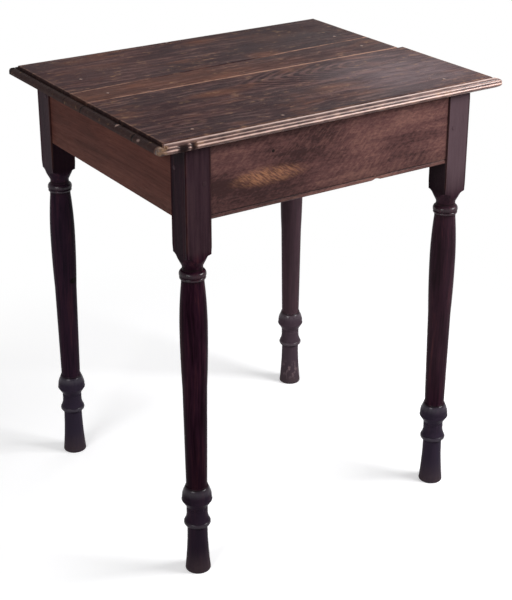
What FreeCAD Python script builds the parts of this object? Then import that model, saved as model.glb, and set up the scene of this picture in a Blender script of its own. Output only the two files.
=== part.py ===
"""A tavern table: a three-board top on a pegged oak frame of four rails and four turned legs.

Millimetres. X runs along the table, -Y is the front, Z = 0 is the floor.
The origin is on the floor, under the middle of the top.
"""

import FreeCAD
import Part
import Sketcher
import math
import os
import re

# Driving dimensions, all in millimetres apart from the shares
SIZES = {
    # Top, over its mouldings
    "table_height": 705.0,
    "board_thickness": 16.0,
    "top_length": 606.0,
    "top_depth": 485.0,
    "corner_round": 9.0,
    # The back boards stop short of the front board at the right end
    "right_step": 10.0,
    # Boards, front to back; the middle strip tapers
    "front_board_width": 232.0,
    "strip_left_width": 54.0,
    "strip_right_width": 84.0,
    "seam_gap": 0.6,
    # Quirked bead along the front edge
    "front_nose": 15.0,
    "front_quirk_depth": 2.8,
    "front_quirk_width": 3.2,
    "front_bead_drop": 0.8,
    "front_nose_drop": 7.5,
    "front_edge_drop": 12.2,
    "front_under_relief": 8.0,
    # Thumbnail moulding along both ends and the back
    "end_nose": 13.0,
    "end_quirk_depth": 5.2,
    "end_quirk_width": 5.0,
    "end_bead_drop": 3.8,
    "end_nose_drop": 9.5,
    "end_edge_drop": 13.2,
    "end_under_relief": 7.0,
    # The underside is eased less at the back, over the frame
    "back_under_relief": 4.0,
    "quirk_floor_share": 0.35,
    "nose_bulge_share": 0.2,
    "under_bulge_share": 0.03,
    # Frame, over the leg blocks, and where it stands under the top
    "frame_length": 504.0,
    "frame_depth": 464.0,
    "left_overhang": 47.0,
    "front_overhang": 15.0,
    # Rails
    "rail_height": 110.0,
    "rail_thickness": 22.0,
    "rail_setback": 2.0,
    "bead_width": 6.0,
    "bead_quirk_width": 2.0,
    "bead_quirk_depth": 1.6,
    "bead_round": 2.4,
    # Mortise and tenon joints
    "tenon_cheek": 6.0,
    "tenon_thickness": 10.0,
    "tenon_lower_shoulder": 10.0,
    "tenon_upper_shoulder": 18.0,
    "mortise_wall": 2.0,
    "joint_clearance": 0.2,
    # Draw-bore pegs
    "peg_diameter": 8.0,
    "peg_clearance": 0.15,
    "peg_setback": 10.0,
    "peg_anchor": 8.0,
    "peg_proud": 0.6,
    "peg_tip": 2.0,
    "long_peg_rise": 56.0,
    "side_peg_rise": 76.0,
    # Pins that hold the boards down
    "pin_diameter": 7.0,
    "pin_clearance": 0.15,
    "pin_depth": 24.0,
    "pin_proud": 0.4,
    "pin_tip": 2.0,
    "pin_leg_inset": 29.0,
    "front_pin_offset": 85.0,
    "back_pin_offset": 20.0,
    "strip_pin_offset": 12.0,
    # Measured back from the seam behind the strip, at the strip's wide end
    "side_pin_offset": 31.0,
    "head_ease": 0.5,
    # Leg block and its shoulder
    "leg_size": 40.0,
    "block_bottom": 528.0,
    "shoulder_radius": 21.4,
    "shoulder_height": 522.0,
    "neck_radius": 15.2,
    "neck_top": 509.5,
    "neck_bottom": 506.5,
    # Upper ring
    "ring_radius": 20.0,
    "ring_height": 495.0,
    "ring_ease": 1.4,
    "ring_foot": 488.0,
    # Baluster shaft
    "shaft_top_radius": 16.3,
    "belly_radius": 20.5,
    "belly_height": 411.0,
    "waist_radius": 18.3,
    "waist_height": 316.0,
    "shaft_foot_radius": 16.0,
    # Bell, spool and lower ring
    "bell_top": 148.0,
    "bell_radius": 23.5,
    "bell_height": 125.0,
    "bell_ease": 1.6,
    "spool_radius": 16.2,
    "spool_top": 113.0,
    "spool_bottom": 101.0,
    "low_ring_radius": 20.6,
    "low_ring_height": 85.5,
    "low_ring_ease": 2.2,
    "low_ring_foot": 80.0,
    # Foot
    "foot_radius": 15.4,
    "sole_radius": 19.6,
    "sole_ease": 1.6,
    # How far the turned sides bow, as shares of their chords
    "corner_cut_bulge_share": 0.16,
    "belly_bulge_share": 0.013,
    "waist_bulge_share": 0.006,
    "flare_bulge_share": 0.06,
    "bell_bulge_share": 0.08,
    "ring_bulge_share": 0.2,
    "foot_bulge_share": 0.012,
    # All cuts run this far past the wood
    "overrun": 5.0,
}

# Lengths worked out from the driving dimensions
UNDERSIDE = "(table_height - board_thickness)"
RAIL_BOTTOM = f"({UNDERSIDE} - rail_height)"
FRAME_X = "(left_overhang + frame_length / 2 - top_length / 2)"
FRAME_Y = "(front_overhang + frame_depth / 2 - top_depth / 2)"
HALF_LEG = "(leg_size / 2)"
LEG_X = f"(frame_length / 2 - {HALF_LEG})"
LEG_Y = f"(frame_depth / 2 - {HALF_LEG})"
LONG_SPAN = "(frame_length - 2 * leg_size)"
SIDE_SPAN = "(frame_depth - 2 * leg_size)"
RAIL_INSET = "(rail_setback + rail_thickness / 2)"
TENON_OUTER = "(rail_setback + tenon_cheek)"
TENON_INNER = f"({TENON_OUTER} + tenon_thickness)"
TENON_LENGTH = f"(leg_size - {TENON_INNER} - mortise_wall)"
TENON_BOTTOM = f"({RAIL_BOTTOM} + tenon_lower_shoulder)"
TENON_TOP = f"({UNDERSIDE} - tenon_upper_shoulder)"
PEG_DEPTH = f"({TENON_INNER} + peg_anchor)"
LONG_PEG_HEIGHT = f"({RAIL_BOTTOM} + long_peg_rise)"
SIDE_PEG_HEIGHT = f"({RAIL_BOTTOM} + side_peg_rise)"
BACK_EDGE = "(top_depth / 2)"
FRONT_EDGE = "(-top_depth / 2)"
LEFT_END = "(-top_length / 2)"
RIGHT_END = "(top_length / 2)"
SHORT_RIGHT_END = f"({RIGHT_END} - right_step)"
FRONT_ARRIS = f"({FRONT_EDGE} + front_nose)"
FRONT_SEAM = f"({FRONT_EDGE} + front_board_width)"
QUARTER_BULGE = "(tan(22.5 deg) / 2)"

FRONT_MOULDING = {
    "nose": "front_nose",
    "quirk_depth": "front_quirk_depth",
    "quirk_width": "front_quirk_width",
    "bead_drop": "front_bead_drop",
    "nose_drop": "front_nose_drop",
    "edge_drop": "front_edge_drop",
    "under_relief": "front_under_relief",
}
END_MOULDING = {name: alias.replace("front_", "end_") for name, alias in FRONT_MOULDING.items()}
BACK_MOULDING = {**END_MOULDING, "under_relief": "back_under_relief"}

doc = FreeCAD.newDocument("TavernTable")
sheet = doc.addObject("Spreadsheet::Sheet", "Sizes")
for row, (alias, number) in enumerate(SIZES.items(), start=1):
    sheet.set(f"A{row}", alias)
    sheet.set(f"B{row}", str(number))
    sheet.setAlias(f"B{row}", alias)
doc.recompute()

bodies = []


def bound(formula):
    """A formula of sheet names as an expression that any object of the document can hold."""
    return re.sub(r"[a-z][a-z_]+", lambda m: f"Sizes.{m[0]}" if m[0] in SIZES else m[0], formula)


def length(formula):
    """The present value of a formula of sheet names."""
    return float(sheet.evalExpression(formula))


def new_body(label, place=("0", "0", "0"), turn=0.0, axis=FreeCAD.Vector(0, 0, 1)):
    """An empty body, turned by so many degrees about an axis and set at a place given in formulas."""
    body = doc.addObject("PartDesign::Body", label)
    body.Label = label
    body.Placement = FreeCAD.Placement(FreeCAD.Vector(), FreeCAD.Rotation(axis, turn))
    for direction, formula in zip("xyz", place):
        body.setExpression(f"Placement.Base.{direction}", bound(formula))
    bodies.append(body)
    return body


def new_sketch(body, plane, name, offset):
    """A sketch on one of the body's own planes, moved along the plane's normal by a formula."""
    sketch = body.newObject("Sketcher::SketchObject", name)
    support = next(feature for feature in body.Origin.OriginFeatures if feature.Role == plane)
    sketch.AttachmentSupport = (support, [""])
    sketch.MapMode = "FlatFace"
    sketch.setExpression("AttachmentOffset.Base.z", bound(offset))
    return sketch


def hold_point(sketch, geometry, end, across, up):
    """Ties one point of a sketch to its two formulas."""
    for direction, formula in (("DistanceX", across), ("DistanceY", up)):
        index = sketch.addConstraint(
            Sketcher.Constraint(direction, -1, 1, geometry, end, length(formula))
        )
        sketch.setExpression(f"Constraints[{index}]", bound(formula))


def arc_between(start, end, bulge):
    """The arc that bows to the right of its chord by a share of it, or to the left if negative."""
    chord = end - start
    radius = chord.Length * (0.25 + bulge**2) / (2 * abs(bulge))
    left = FreeCAD.Vector(-chord.y, chord.x, 0).normalize()
    middle = (start + end) * 0.5 - left * (bulge * chord.Length)
    centre = middle + left * math.copysign(radius, bulge)
    first, last = (start, end) if bulge > 0 else (end, start)
    from_angle = math.atan2(first.y - centre.y, first.x - centre.x)
    to_angle = math.atan2(last.y - centre.y, last.x - centre.x)
    circle = Part.Circle(centre, FreeCAD.Vector(0, 0, 1), radius)
    return Part.ArcOfCircle(circle, from_angle, to_angle)


def draw_loop(sketch, corners):
    """A closed loop of corners (across, up), in formulas; a third one bows the side from there."""
    places = [FreeCAD.Vector(length(corner[0]), length(corner[1]), 0) for corner in corners]
    sides = []
    for number, corner in enumerate(corners):
        following = corners[(number + 1) % len(corners)]
        start = places[number]
        end = places[(number + 1) % len(corners)]
        if len(corner) == 2:
            sides.append((sketch.addGeometry(Part.LineSegment(start, end)), 1, 2))
            continue
        bulge = length(corner[2])
        index = sketch.addGeometry(arc_between(start, end, bulge))
        sides.append((index, 1, 2) if bulge > 0 else (index, 2, 1))
        chord = (
            f"sqrt(({following[0]} - ({corner[0]}))^2 + ({following[1]} - ({corner[1]}))^2)"
        )
        radius = f"{chord} * (0.25 + ({corner[2]})^2) / (2 * abs({corner[2]}))"
        held = sketch.addConstraint(Sketcher.Constraint("Radius", index, length(radius)))
        sketch.setExpression(f"Constraints[{held}]", bound(radius))
    for number, (index, start, end) in enumerate(sides):
        next_index, next_start, _ = sides[(number + 1) % len(sides)]
        sketch.addConstraint(Sketcher.Constraint("Coincident", index, end, next_index, next_start))
        hold_point(sketch, index, start, corners[number][0], corners[number][1])


def draw_rectangle(sketch, low_across, low_up, high_across, high_up):
    """A rectangle between two corners given in formulas."""
    draw_loop(
        sketch,
        [(low_across, low_up), (high_across, low_up), (high_across, high_up), (low_across, high_up)],
    )


def draw_circle(sketch, across, up, diameter):
    """A circle with its centre and diameter in formulas."""
    centre = FreeCAD.Vector(length(across), length(up), 0)
    circle = Part.Circle(centre, FreeCAD.Vector(0, 0, 1), length(diameter) / 2)
    index = sketch.addGeometry(circle)
    hold_point(sketch, index, 3, across, up)
    held = sketch.addConstraint(Sketcher.Constraint("Diameter", index, length(diameter)))
    sketch.setExpression(f"Constraints[{held}]", bound(diameter))


def pad(body, sketch, thickness, symmetric=False):
    """Raises a sketch to a thickness, to one side or evenly to both."""
    feature = body.newObject("PartDesign::Pad", f"{sketch.Name}Pad")
    feature.Profile = sketch
    feature.SideType = "Symmetric" if symmetric else "One side"
    feature.setExpression("Length", bound(thickness))
    doc.recompute()


def pocket(body, sketch, depth=None, reverse=False, symmetric=False):
    """Cuts a sketch into the body, to a depth or right through, and makes sure that wood came away."""
    before = body.Shape.Volume
    feature = body.newObject("PartDesign::Pocket", f"{sketch.Name}Pocket")
    feature.Profile = sketch
    feature.Reversed = reverse
    feature.SideType = "Symmetric" if symmetric else "One side"
    if depth is None:
        feature.Type = "ThroughAll"
    else:
        feature.setExpression("Length", bound(depth))
    doc.recompute()
    if not body.Shape.Volume < before:
        raise RuntimeError(f"{feature.Name} in {body.Label} cuts nothing")


def revolve(body, sketch, kind="PartDesign::Revolution"):
    """Turns a sketch full circle about its upright axis, as added wood or as a groove."""
    feature = body.newObject(kind, f"{sketch.Name}Turned")
    feature.Profile = sketch
    feature.ReferenceAxis = (sketch, ["V_Axis"])
    feature.Angle = 360
    doc.recompute()


def mould_edge(body, plane, name, edge, outward, moulding, start=None):
    """Works a moulding on one edge of a board, the full way, or from a start formula onwards."""
    sketch = new_sketch(body, plane, name, start or "0")

    def at(inward, drop):
        return (f"{edge} - ({outward}) * ({inward})", f"table_height - ({drop})")

    bulge = f"({outward}) * nose_bulge_share"
    under_bulge = f"({outward}) * under_bulge_share"
    quirk = f"{moulding['nose']} - {moulding['quirk_width']}"
    floor = f"{moulding['nose']} - {moulding['quirk_width']} * quirk_floor_share"
    draw_loop(
        sketch,
        [
            at(moulding["nose"], "0"),
            at(moulding["nose"], moulding["quirk_depth"]),
            at(floor, moulding["quirk_depth"]),
            (*at(quirk, moulding["bead_drop"]), f"-1 * {bulge}"),
            at("0", moulding["nose_drop"]),
            at("-overrun", moulding["nose_drop"]),
            at("-overrun", "-overrun"),
            at(moulding["nose"], "-overrun"),
        ],
    )
    draw_loop(
        sketch,
        [
            (*at("0", moulding["edge_drop"]), f"-1 * {under_bulge}"),
            at(moulding["under_relief"], "board_thickness"),
            at(moulding["under_relief"], "board_thickness + overrun"),
            at("-overrun", "board_thickness + overrun"),
            at("-overrun", moulding["edge_drop"]),
        ],
    )
    pocket(body, sketch, symmetric=start is None)


def drill_down(body, name, height, places, diameter, depth=None):
    """Bores upright holes from a height at places (x, y), to a depth or right through."""
    sketch = new_sketch(body, "XY_Plane", name, height)
    for across, along in places:
        draw_circle(sketch, across, along, diameter)
    pocket(body, sketch, depth)


PIN_BORE = "pin_diameter + 2 * pin_clearance"
PEG_BORE = "peg_diameter + 2 * peg_clearance"

# Where the pins stand: node name, and its place measured from the middle of the frame
LEFT_RAIL_LINE = f"({RAIL_INSET} - frame_length / 2)"
RIGHT_RAIL_LINE = f"(frame_length / 2 - {RAIL_INSET})"
FRONT_RAIL_LINE = f"({RAIL_INSET} - frame_depth / 2)"
BACK_RAIL_LINE = f"(frame_depth / 2 - {RAIL_INSET})"
STRIP_MIDDLE = f"({FRONT_SEAM} + strip_left_width / 2 - {FRAME_Y})"
STRIP_PIN_Y = f"({STRIP_MIDDLE} + strip_pin_offset)"
SIDE_PIN_Y = f"({FRONT_SEAM} + strip_right_width + side_pin_offset - {FRAME_Y})"
LEG_PIN_X = "(frame_length / 2 - pin_leg_inset)"
LEG_PIN_Y = "(pin_leg_inset - frame_depth / 2)"
PINS = {
    "pin_front_board_left_leg": (f"(-{LEG_PIN_X})", LEG_PIN_Y),
    "pin_front_board_rail": ("(-front_pin_offset)", FRONT_RAIL_LINE),
    "pin_front_board_right_leg": (LEG_PIN_X, LEG_PIN_Y),
    "pin_middle_strip_left": (LEFT_RAIL_LINE, STRIP_MIDDLE),
    "pin_middle_strip_right": (RIGHT_RAIL_LINE, STRIP_PIN_Y),
    "pin_back_board_left": (LEFT_RAIL_LINE, SIDE_PIN_Y),
    "pin_back_board_right": (RIGHT_RAIL_LINE, SIDE_PIN_Y),
    "pin_back_board_rail": ("(-back_pin_offset)", BACK_RAIL_LINE),
}


def pins_through(board):
    """The places of one board's pins, measured from the origin."""
    return [
        (f"{FRAME_X} + {across}", f"{FRAME_Y} + {along}")
        for name, (across, along) in PINS.items()
        if name.startswith(f"pin_{board}")
    ]


def seam(end, behind):
    """How far back a seam lies at a board's end: behind the front board, or behind the strip."""
    if not behind:
        return FRONT_SEAM
    # The strip's taper runs in a straight line between the two ends of the top
    run_share = f"({end} - {LEFT_END}) / top_length"
    return f"({FRONT_SEAM} + strip_left_width + (strip_right_width - strip_left_width) * {run_share})"


# Front board: the bead along its front runs out to the very end at the right
front_board = new_body("top_front_board")
blank = new_sketch(front_board, "XY_Plane", "FrontBlank", UNDERSIDE)
draw_loop(
    blank,
    [
        (f"{LEFT_END} + corner_round", FRONT_EDGE),
        (f"{RIGHT_END} - corner_round", FRONT_EDGE, QUARTER_BULGE),
        (RIGHT_END, f"{FRONT_EDGE} + corner_round"),
        (RIGHT_END, f"{FRONT_SEAM} - seam_gap / 2"),
        (LEFT_END, f"{FRONT_SEAM} - seam_gap / 2"),
        (LEFT_END, f"{FRONT_EDGE} + corner_round", QUARTER_BULGE),
    ],
)
pad(front_board, blank, "board_thickness")
mould_edge(front_board, "YZ_Plane", "FrontBead", FRONT_EDGE, -1, FRONT_MOULDING)
mould_edge(front_board, "XZ_Plane", "FrontLeft", LEFT_END, -1, END_MOULDING)
mould_edge(front_board, "XZ_Plane", "FrontRight", RIGHT_END, 1, END_MOULDING, f"-{FRONT_ARRIS}")
drill_down(front_board, "FrontPinBores", "table_height", pins_through("front_board"), PIN_BORE)

# Middle strip: tapered, wider at the right
middle_strip = new_body("top_middle_strip")
blank = new_sketch(middle_strip, "XY_Plane", "StripBlank", UNDERSIDE)
draw_loop(
    blank,
    [
        (LEFT_END, f"{seam(LEFT_END, False)} + seam_gap / 2"),
        (SHORT_RIGHT_END, f"{seam(SHORT_RIGHT_END, False)} + seam_gap / 2"),
        (SHORT_RIGHT_END, f"{seam(SHORT_RIGHT_END, True)} - seam_gap / 2"),
        (LEFT_END, f"{seam(LEFT_END, True)} - seam_gap / 2"),
    ],
)
pad(middle_strip, blank, "board_thickness")
mould_edge(middle_strip, "XZ_Plane", "StripLeft", LEFT_END, -1, END_MOULDING)
mould_edge(middle_strip, "XZ_Plane", "StripRight", SHORT_RIGHT_END, 1, END_MOULDING)
drill_down(middle_strip, "StripPinBores", "table_height", pins_through("middle_strip"), PIN_BORE)

# Back board
back_board = new_body("top_back_board")
blank = new_sketch(back_board, "XY_Plane", "BackBlank", UNDERSIDE)
draw_loop(
    blank,
    [
        (LEFT_END, f"{seam(LEFT_END, True)} + seam_gap / 2"),
        (SHORT_RIGHT_END, f"{seam(SHORT_RIGHT_END, True)} + seam_gap / 2"),
        (SHORT_RIGHT_END, f"{BACK_EDGE} - corner_round", QUARTER_BULGE),
        (f"{SHORT_RIGHT_END} - corner_round", BACK_EDGE),
        (f"{LEFT_END} + corner_round", BACK_EDGE, QUARTER_BULGE),
        (LEFT_END, f"{BACK_EDGE} - corner_round"),
    ],
)
pad(back_board, blank, "board_thickness")
mould_edge(back_board, "YZ_Plane", "BackEdge", BACK_EDGE, 1, BACK_MOULDING)
mould_edge(back_board, "XZ_Plane", "BackLeft", LEFT_END, -1, END_MOULDING)
mould_edge(back_board, "XZ_Plane", "BackRight", SHORT_RIGHT_END, 1, END_MOULDING)
drill_down(back_board, "BackPinBores", "table_height", pins_through("back_board"), PIN_BORE)


def make_rail(label, along, span, place, turn, peg_height, pin_places, beaded=False):
    """A rail along its own X with its face to its own -Y, a tenon at each end and its bores."""
    rail = new_body(label, place, turn)
    face = "-rail_thickness / 2"
    plank = new_sketch(rail, "YZ_Plane", f"{along}Plank", "0")
    draw_rectangle(plank, face, RAIL_BOTTOM, "rail_thickness / 2", UNDERSIDE)
    pad(rail, plank, span, symmetric=True)
    tenons = new_sketch(rail, "YZ_Plane", f"{along}Tenons", "0")
    cheek = f"{face} + tenon_cheek"
    draw_rectangle(tenons, cheek, TENON_BOTTOM, f"{cheek} + tenon_thickness", TENON_TOP)
    pad(rail, tenons, f"{span} + 2 * {TENON_LENGTH}", symmetric=True)
    bores = new_sketch(rail, "XZ_Plane", f"{along}PegBores", "0")
    for side in (-1, 1):
        draw_circle(bores, f"({side}) * ({span} / 2 + peg_setback)", peg_height, PEG_BORE)
    pocket(rail, bores, symmetric=True)
    drill_down(rail, f"{along}PinBores", UNDERSIDE, pin_places, PIN_BORE, "pin_depth")
    if beaded:
        bead = new_sketch(rail, "YZ_Plane", f"{along}Bead", "0")
        bead_top = f"{RAIL_BOTTOM} + bead_width"
        draw_loop(
            bead,
            [
                (f"{face} - overrun", bead_top),
                (face, bead_top),
                (f"{face} + bead_quirk_depth", f"{bead_top} + bead_quirk_width / 2"),
                (face, f"{bead_top} + bead_quirk_width"),
                (f"{face} - overrun", f"{bead_top} + bead_quirk_width"),
            ],
        )
        draw_loop(
            bead,
            [
                (face, f"{RAIL_BOTTOM} + bead_round", QUARTER_BULGE),
                (f"{face} + bead_round", RAIL_BOTTOM),
                (f"{face} + bead_round", f"{RAIL_BOTTOM} - overrun"),
                (f"{face} - overrun", f"{RAIL_BOTTOM} - overrun"),
                (f"{face} - overrun", f"{RAIL_BOTTOM} + bead_round"),
            ],
        )
        pocket(rail, bead, symmetric=True)


def pins_into(line, sign):
    """Places along a rail of the pins on its line, measured along the rail's own X."""
    places = []
    for across, along in PINS.values():
        if line == across:
            places.append((f"({sign}) * {along}", "0"))
        elif line == along:
            places.append((f"({sign}) * {across}", "0"))
    return places


make_rail(
    "rail_front", "Front", LONG_SPAN, (FRAME_X, f"{FRAME_Y} + {FRONT_RAIL_LINE}", "0"), 0,
    LONG_PEG_HEIGHT, pins_into(FRONT_RAIL_LINE, 1), beaded=True,
)
make_rail(
    "rail_right", "Right", SIDE_SPAN, (f"{FRAME_X} + {RIGHT_RAIL_LINE}", FRAME_Y, "0"), 90,
    SIDE_PEG_HEIGHT, pins_into(RIGHT_RAIL_LINE, 1),
)
make_rail(
    "rail_back", "Back", LONG_SPAN, (FRAME_X, f"{FRAME_Y} + {BACK_RAIL_LINE}", "0"), 180,
    LONG_PEG_HEIGHT, pins_into(BACK_RAIL_LINE, -1),
)
make_rail(
    "rail_left", "Left", SIDE_SPAN, (f"{FRAME_X} + {LEFT_RAIL_LINE}", FRAME_Y, "0"), 270,
    SIDE_PEG_HEIGHT, pins_into(LEFT_RAIL_LINE, -1),
)


def make_leg(label, side, end, turn, first_peg_height, second_peg_height, pinned):
    """A leg whose outer faces are its own -X and -Y, with mortises in its +X and +Y faces."""
    place = (f"{FRAME_X} + ({side}) * {LEG_X}", f"{FRAME_Y} + ({end}) * {LEG_Y}", "0")
    leg = new_body(label, place, turn)
    prefix = "".join(word.title() for word in label.split("_"))
    square = new_sketch(leg, "XY_Plane", f"{prefix}Square", "neck_top")
    draw_rectangle(square, f"-{HALF_LEG}", f"-{HALF_LEG}", HALF_LEG, HALF_LEG)
    pad(leg, square, f"{UNDERSIDE} - neck_top")

    # The turner's cut that rounds the block's lower corners down to the neck
    corner_radius = f"{HALF_LEG} * sqrt(2)"
    shoulder = new_sketch(leg, "XZ_Plane", f"{prefix}Shoulder", "0")
    draw_loop(
        shoulder,
        [
            ("neck_radius", "neck_top"),
            ("shoulder_radius", "shoulder_height", "-corner_cut_bulge_share"),
            (corner_radius, "block_bottom"),
            (f"{corner_radius} + overrun", "block_bottom"),
            (f"{corner_radius} + overrun", "neck_top - overrun"),
            ("neck_radius", "neck_top - overrun"),
        ],
    )
    revolve(leg, shoulder, "PartDesign::Groove")

    turned = new_sketch(leg, "XZ_Plane", f"{prefix}Turned", "0")
    draw_loop(
        turned,
        [
            ("0", "0"),
            ("sole_radius - sole_ease", "0", "ring_bulge_share"),
            ("sole_radius", "sole_ease", "-foot_bulge_share"),
            ("foot_radius", "low_ring_foot", "ring_bulge_share"),
            ("low_ring_radius", "low_ring_height - low_ring_ease", "ring_bulge_share"),
            (
                "low_ring_radius - low_ring_ease / 2",
                "low_ring_height + low_ring_ease",
                "-flare_bulge_share",
            ),
            ("spool_radius", "spool_bottom"),
            ("spool_radius", "spool_top"),
            ("bell_radius - bell_ease / 2", "bell_height - bell_ease", "ring_bulge_share"),
            ("bell_radius - bell_ease / 2", "bell_height + bell_ease", "bell_bulge_share"),
            ("shaft_foot_radius", "bell_top"),
            ("waist_radius", "waist_height", "waist_bulge_share"),
            ("belly_radius", "belly_height", "belly_bulge_share"),
            ("shaft_top_radius", "ring_foot", "ring_bulge_share"),
            ("ring_radius - ring_ease / 2", "ring_height - ring_ease", "ring_bulge_share"),
            ("ring_radius - ring_ease / 2", "ring_height + ring_ease", "-flare_bulge_share"),
            ("neck_radius", "neck_bottom"),
            ("neck_radius", "neck_top"),
            ("0", "neck_top"),
        ],
    )
    revolve(leg, turned)

    # Mortises, wider than the tenons all round by the joint clearance
    low = f"{TENON_OUTER} - {HALF_LEG} - joint_clearance"
    high = f"{TENON_INNER} - {HALF_LEG} + joint_clearance"
    bottom = f"{TENON_BOTTOM} - joint_clearance"
    top = f"{TENON_TOP} + joint_clearance"
    depth = f"{TENON_LENGTH} + joint_clearance"
    for plane, offset, reverse in (("YZ_Plane", HALF_LEG, False), ("XZ_Plane", f"-{HALF_LEG}", True)):
        mortise = new_sketch(leg, plane, f"{prefix}Mortise{plane[0]}", offset)
        draw_rectangle(mortise, low, bottom, high, top)
        pocket(leg, mortise, depth, reverse)

    # Peg bores from the two outer faces
    reach = f"{HALF_LEG} - peg_setback"
    for plane, offset, reverse, height in (
        ("XZ_Plane", HALF_LEG, False, first_peg_height),
        ("YZ_Plane", f"-{HALF_LEG}", True, second_peg_height),
    ):
        bore = new_sketch(leg, plane, f"{prefix}PegBore{plane[0]}", offset)
        draw_circle(bore, reach, height, PEG_BORE)
        pocket(leg, bore, PEG_DEPTH, reverse)

    if pinned:
        inset = f"pin_leg_inset - {HALF_LEG}"
        drill_down(leg, f"{prefix}PinBore", UNDERSIDE, [(inset, inset)], PIN_BORE, "pin_depth")


make_leg("leg_front_left", -1, -1, 0, LONG_PEG_HEIGHT, SIDE_PEG_HEIGHT, True)
make_leg("leg_front_right", 1, -1, 90, SIDE_PEG_HEIGHT, LONG_PEG_HEIGHT, True)
make_leg("leg_back_right", 1, 1, 180, LONG_PEG_HEIGHT, SIDE_PEG_HEIGHT, False)
make_leg("leg_back_left", -1, 1, 270, SIDE_PEG_HEIGHT, LONG_PEG_HEIGHT, False)


def make_dowel(label, place, turn, axis, diameter, whole, tip):
    """A pin along its own Z: pointed at the bottom, with an eased head."""
    dowel = new_body(label, place, turn, axis)
    prefix = "".join(word.title() for word in label.split("_"))
    section = new_sketch(dowel, "XZ_Plane", f"{prefix}Section", "0")
    radius = f"{diameter} / 2"
    draw_loop(
        section,
        [
            ("0", "0"),
            (f"{radius} - {tip} / 2", "0"),
            (radius, tip),
            (radius, f"{whole} - head_ease"),
            (f"{radius} - head_ease", whole),
            ("0", whole),
        ],
    )
    revolve(dowel, section)


# Draw-bore pegs: from the middle of the frame, through each joint, with the head to the outside
LONG_PEG_X = f"({LONG_SPAN} / 2 + peg_setback)"
SIDE_PEG_Y = f"({SIDE_SPAN} / 2 + peg_setback)"
FRONT_PEG_Y = f"({PEG_DEPTH} - frame_depth / 2)"
LEFT_PEG_X = f"({PEG_DEPTH} - frame_length / 2)"
ACROSS = FreeCAD.Vector(1, 0, 0)
ALONG = FreeCAD.Vector(0, 1, 0)
for label, across, along, height, turn, axis in (
    ("peg_front_rail_left", f"-{LONG_PEG_X}", FRONT_PEG_Y, LONG_PEG_HEIGHT, 90, ACROSS),
    ("peg_front_rail_right", LONG_PEG_X, FRONT_PEG_Y, LONG_PEG_HEIGHT, 90, ACROSS),
    ("peg_back_rail_left", f"-{LONG_PEG_X}", f"-{FRONT_PEG_Y}", LONG_PEG_HEIGHT, -90, ACROSS),
    ("peg_back_rail_right", LONG_PEG_X, f"-{FRONT_PEG_Y}", LONG_PEG_HEIGHT, -90, ACROSS),
    ("peg_left_rail_front", LEFT_PEG_X, f"-{SIDE_PEG_Y}", SIDE_PEG_HEIGHT, -90, ALONG),
    ("peg_left_rail_back", LEFT_PEG_X, SIDE_PEG_Y, SIDE_PEG_HEIGHT, -90, ALONG),
    ("peg_right_rail_front", f"-{LEFT_PEG_X}", f"-{SIDE_PEG_Y}", SIDE_PEG_HEIGHT, 90, ALONG),
    ("peg_right_rail_back", f"-{LEFT_PEG_X}", SIDE_PEG_Y, SIDE_PEG_HEIGHT, 90, ALONG),
):
    place = (f"{FRAME_X} + {across}", f"{FRAME_Y} + {along}", height)
    make_dowel(label, place, turn, axis, "peg_diameter", f"{PEG_DEPTH} + peg_proud", "peg_tip")

# Pins from the upper face of the boards down into the rails and the front legs
for label, (across, along) in PINS.items():
    place = (f"{FRAME_X} + {across}", f"{FRAME_Y} + {along}", f"{UNDERSIDE} - pin_depth")
    whole = "(pin_depth + board_thickness + pin_proud)"
    make_dowel(label, place, 0, FreeCAD.Vector(0, 0, 1), "pin_diameter", whole, "pin_tip")

doc.recompute()
for thing in doc.Objects:
    if {"Invalid", "Error"} & set(thing.State):
        raise RuntimeError(f"{thing.Label} did not build: {thing.State}")
for body in bodies:
    if body.Shape.isNull() or not body.Shape.isValid() or len(body.Shape.Solids) != 1:
        raise RuntimeError(f"{body.Label} is not one sound solid")

os.makedirs("parts", exist_ok=True)
for body in bodies:
    body.Shape.exportStep(f"parts/{body.Label}.step")
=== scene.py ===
"""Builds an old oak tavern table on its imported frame: boards, rails, turned legs, pegs and pins.

Metres. X runs along the table, -Y is the front, Z = 0 is the floor.
"""

import math

import bmesh
import bpy
from bpy.props import FloatProperty, FloatVectorProperty, PointerProperty
from mathutils import Matrix, Vector, noise


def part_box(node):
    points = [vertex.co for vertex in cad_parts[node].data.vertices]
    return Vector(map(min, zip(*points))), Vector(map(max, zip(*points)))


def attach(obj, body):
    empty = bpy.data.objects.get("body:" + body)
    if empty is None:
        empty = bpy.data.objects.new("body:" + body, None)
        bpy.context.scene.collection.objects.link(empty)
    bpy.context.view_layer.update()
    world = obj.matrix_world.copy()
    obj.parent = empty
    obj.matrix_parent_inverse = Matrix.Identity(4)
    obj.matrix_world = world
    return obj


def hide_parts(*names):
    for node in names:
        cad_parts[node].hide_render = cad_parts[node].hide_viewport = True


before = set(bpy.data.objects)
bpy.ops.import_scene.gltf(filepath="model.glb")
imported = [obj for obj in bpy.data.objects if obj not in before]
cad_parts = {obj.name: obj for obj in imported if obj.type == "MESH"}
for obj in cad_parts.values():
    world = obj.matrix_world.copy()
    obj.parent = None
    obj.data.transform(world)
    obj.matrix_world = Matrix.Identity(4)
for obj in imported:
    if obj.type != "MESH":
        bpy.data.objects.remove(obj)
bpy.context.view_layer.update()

bl_info = {
    "name": "Tavern Table",
    "version": (1, 0, 0),
    "blender": (4, 5, 0),
    "location": "View3D > Sidebar > Tavern Table",
    "description": "Builds a worn oak tavern table piece by piece on its packed frame",
    "category": "Object",
}

FRONT_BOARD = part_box("top_front_board")
MIDDLE_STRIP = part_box("top_middle_strip")
BACK_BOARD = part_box("top_back_board")
FLAT = FRONT_BOARD[1].z


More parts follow.
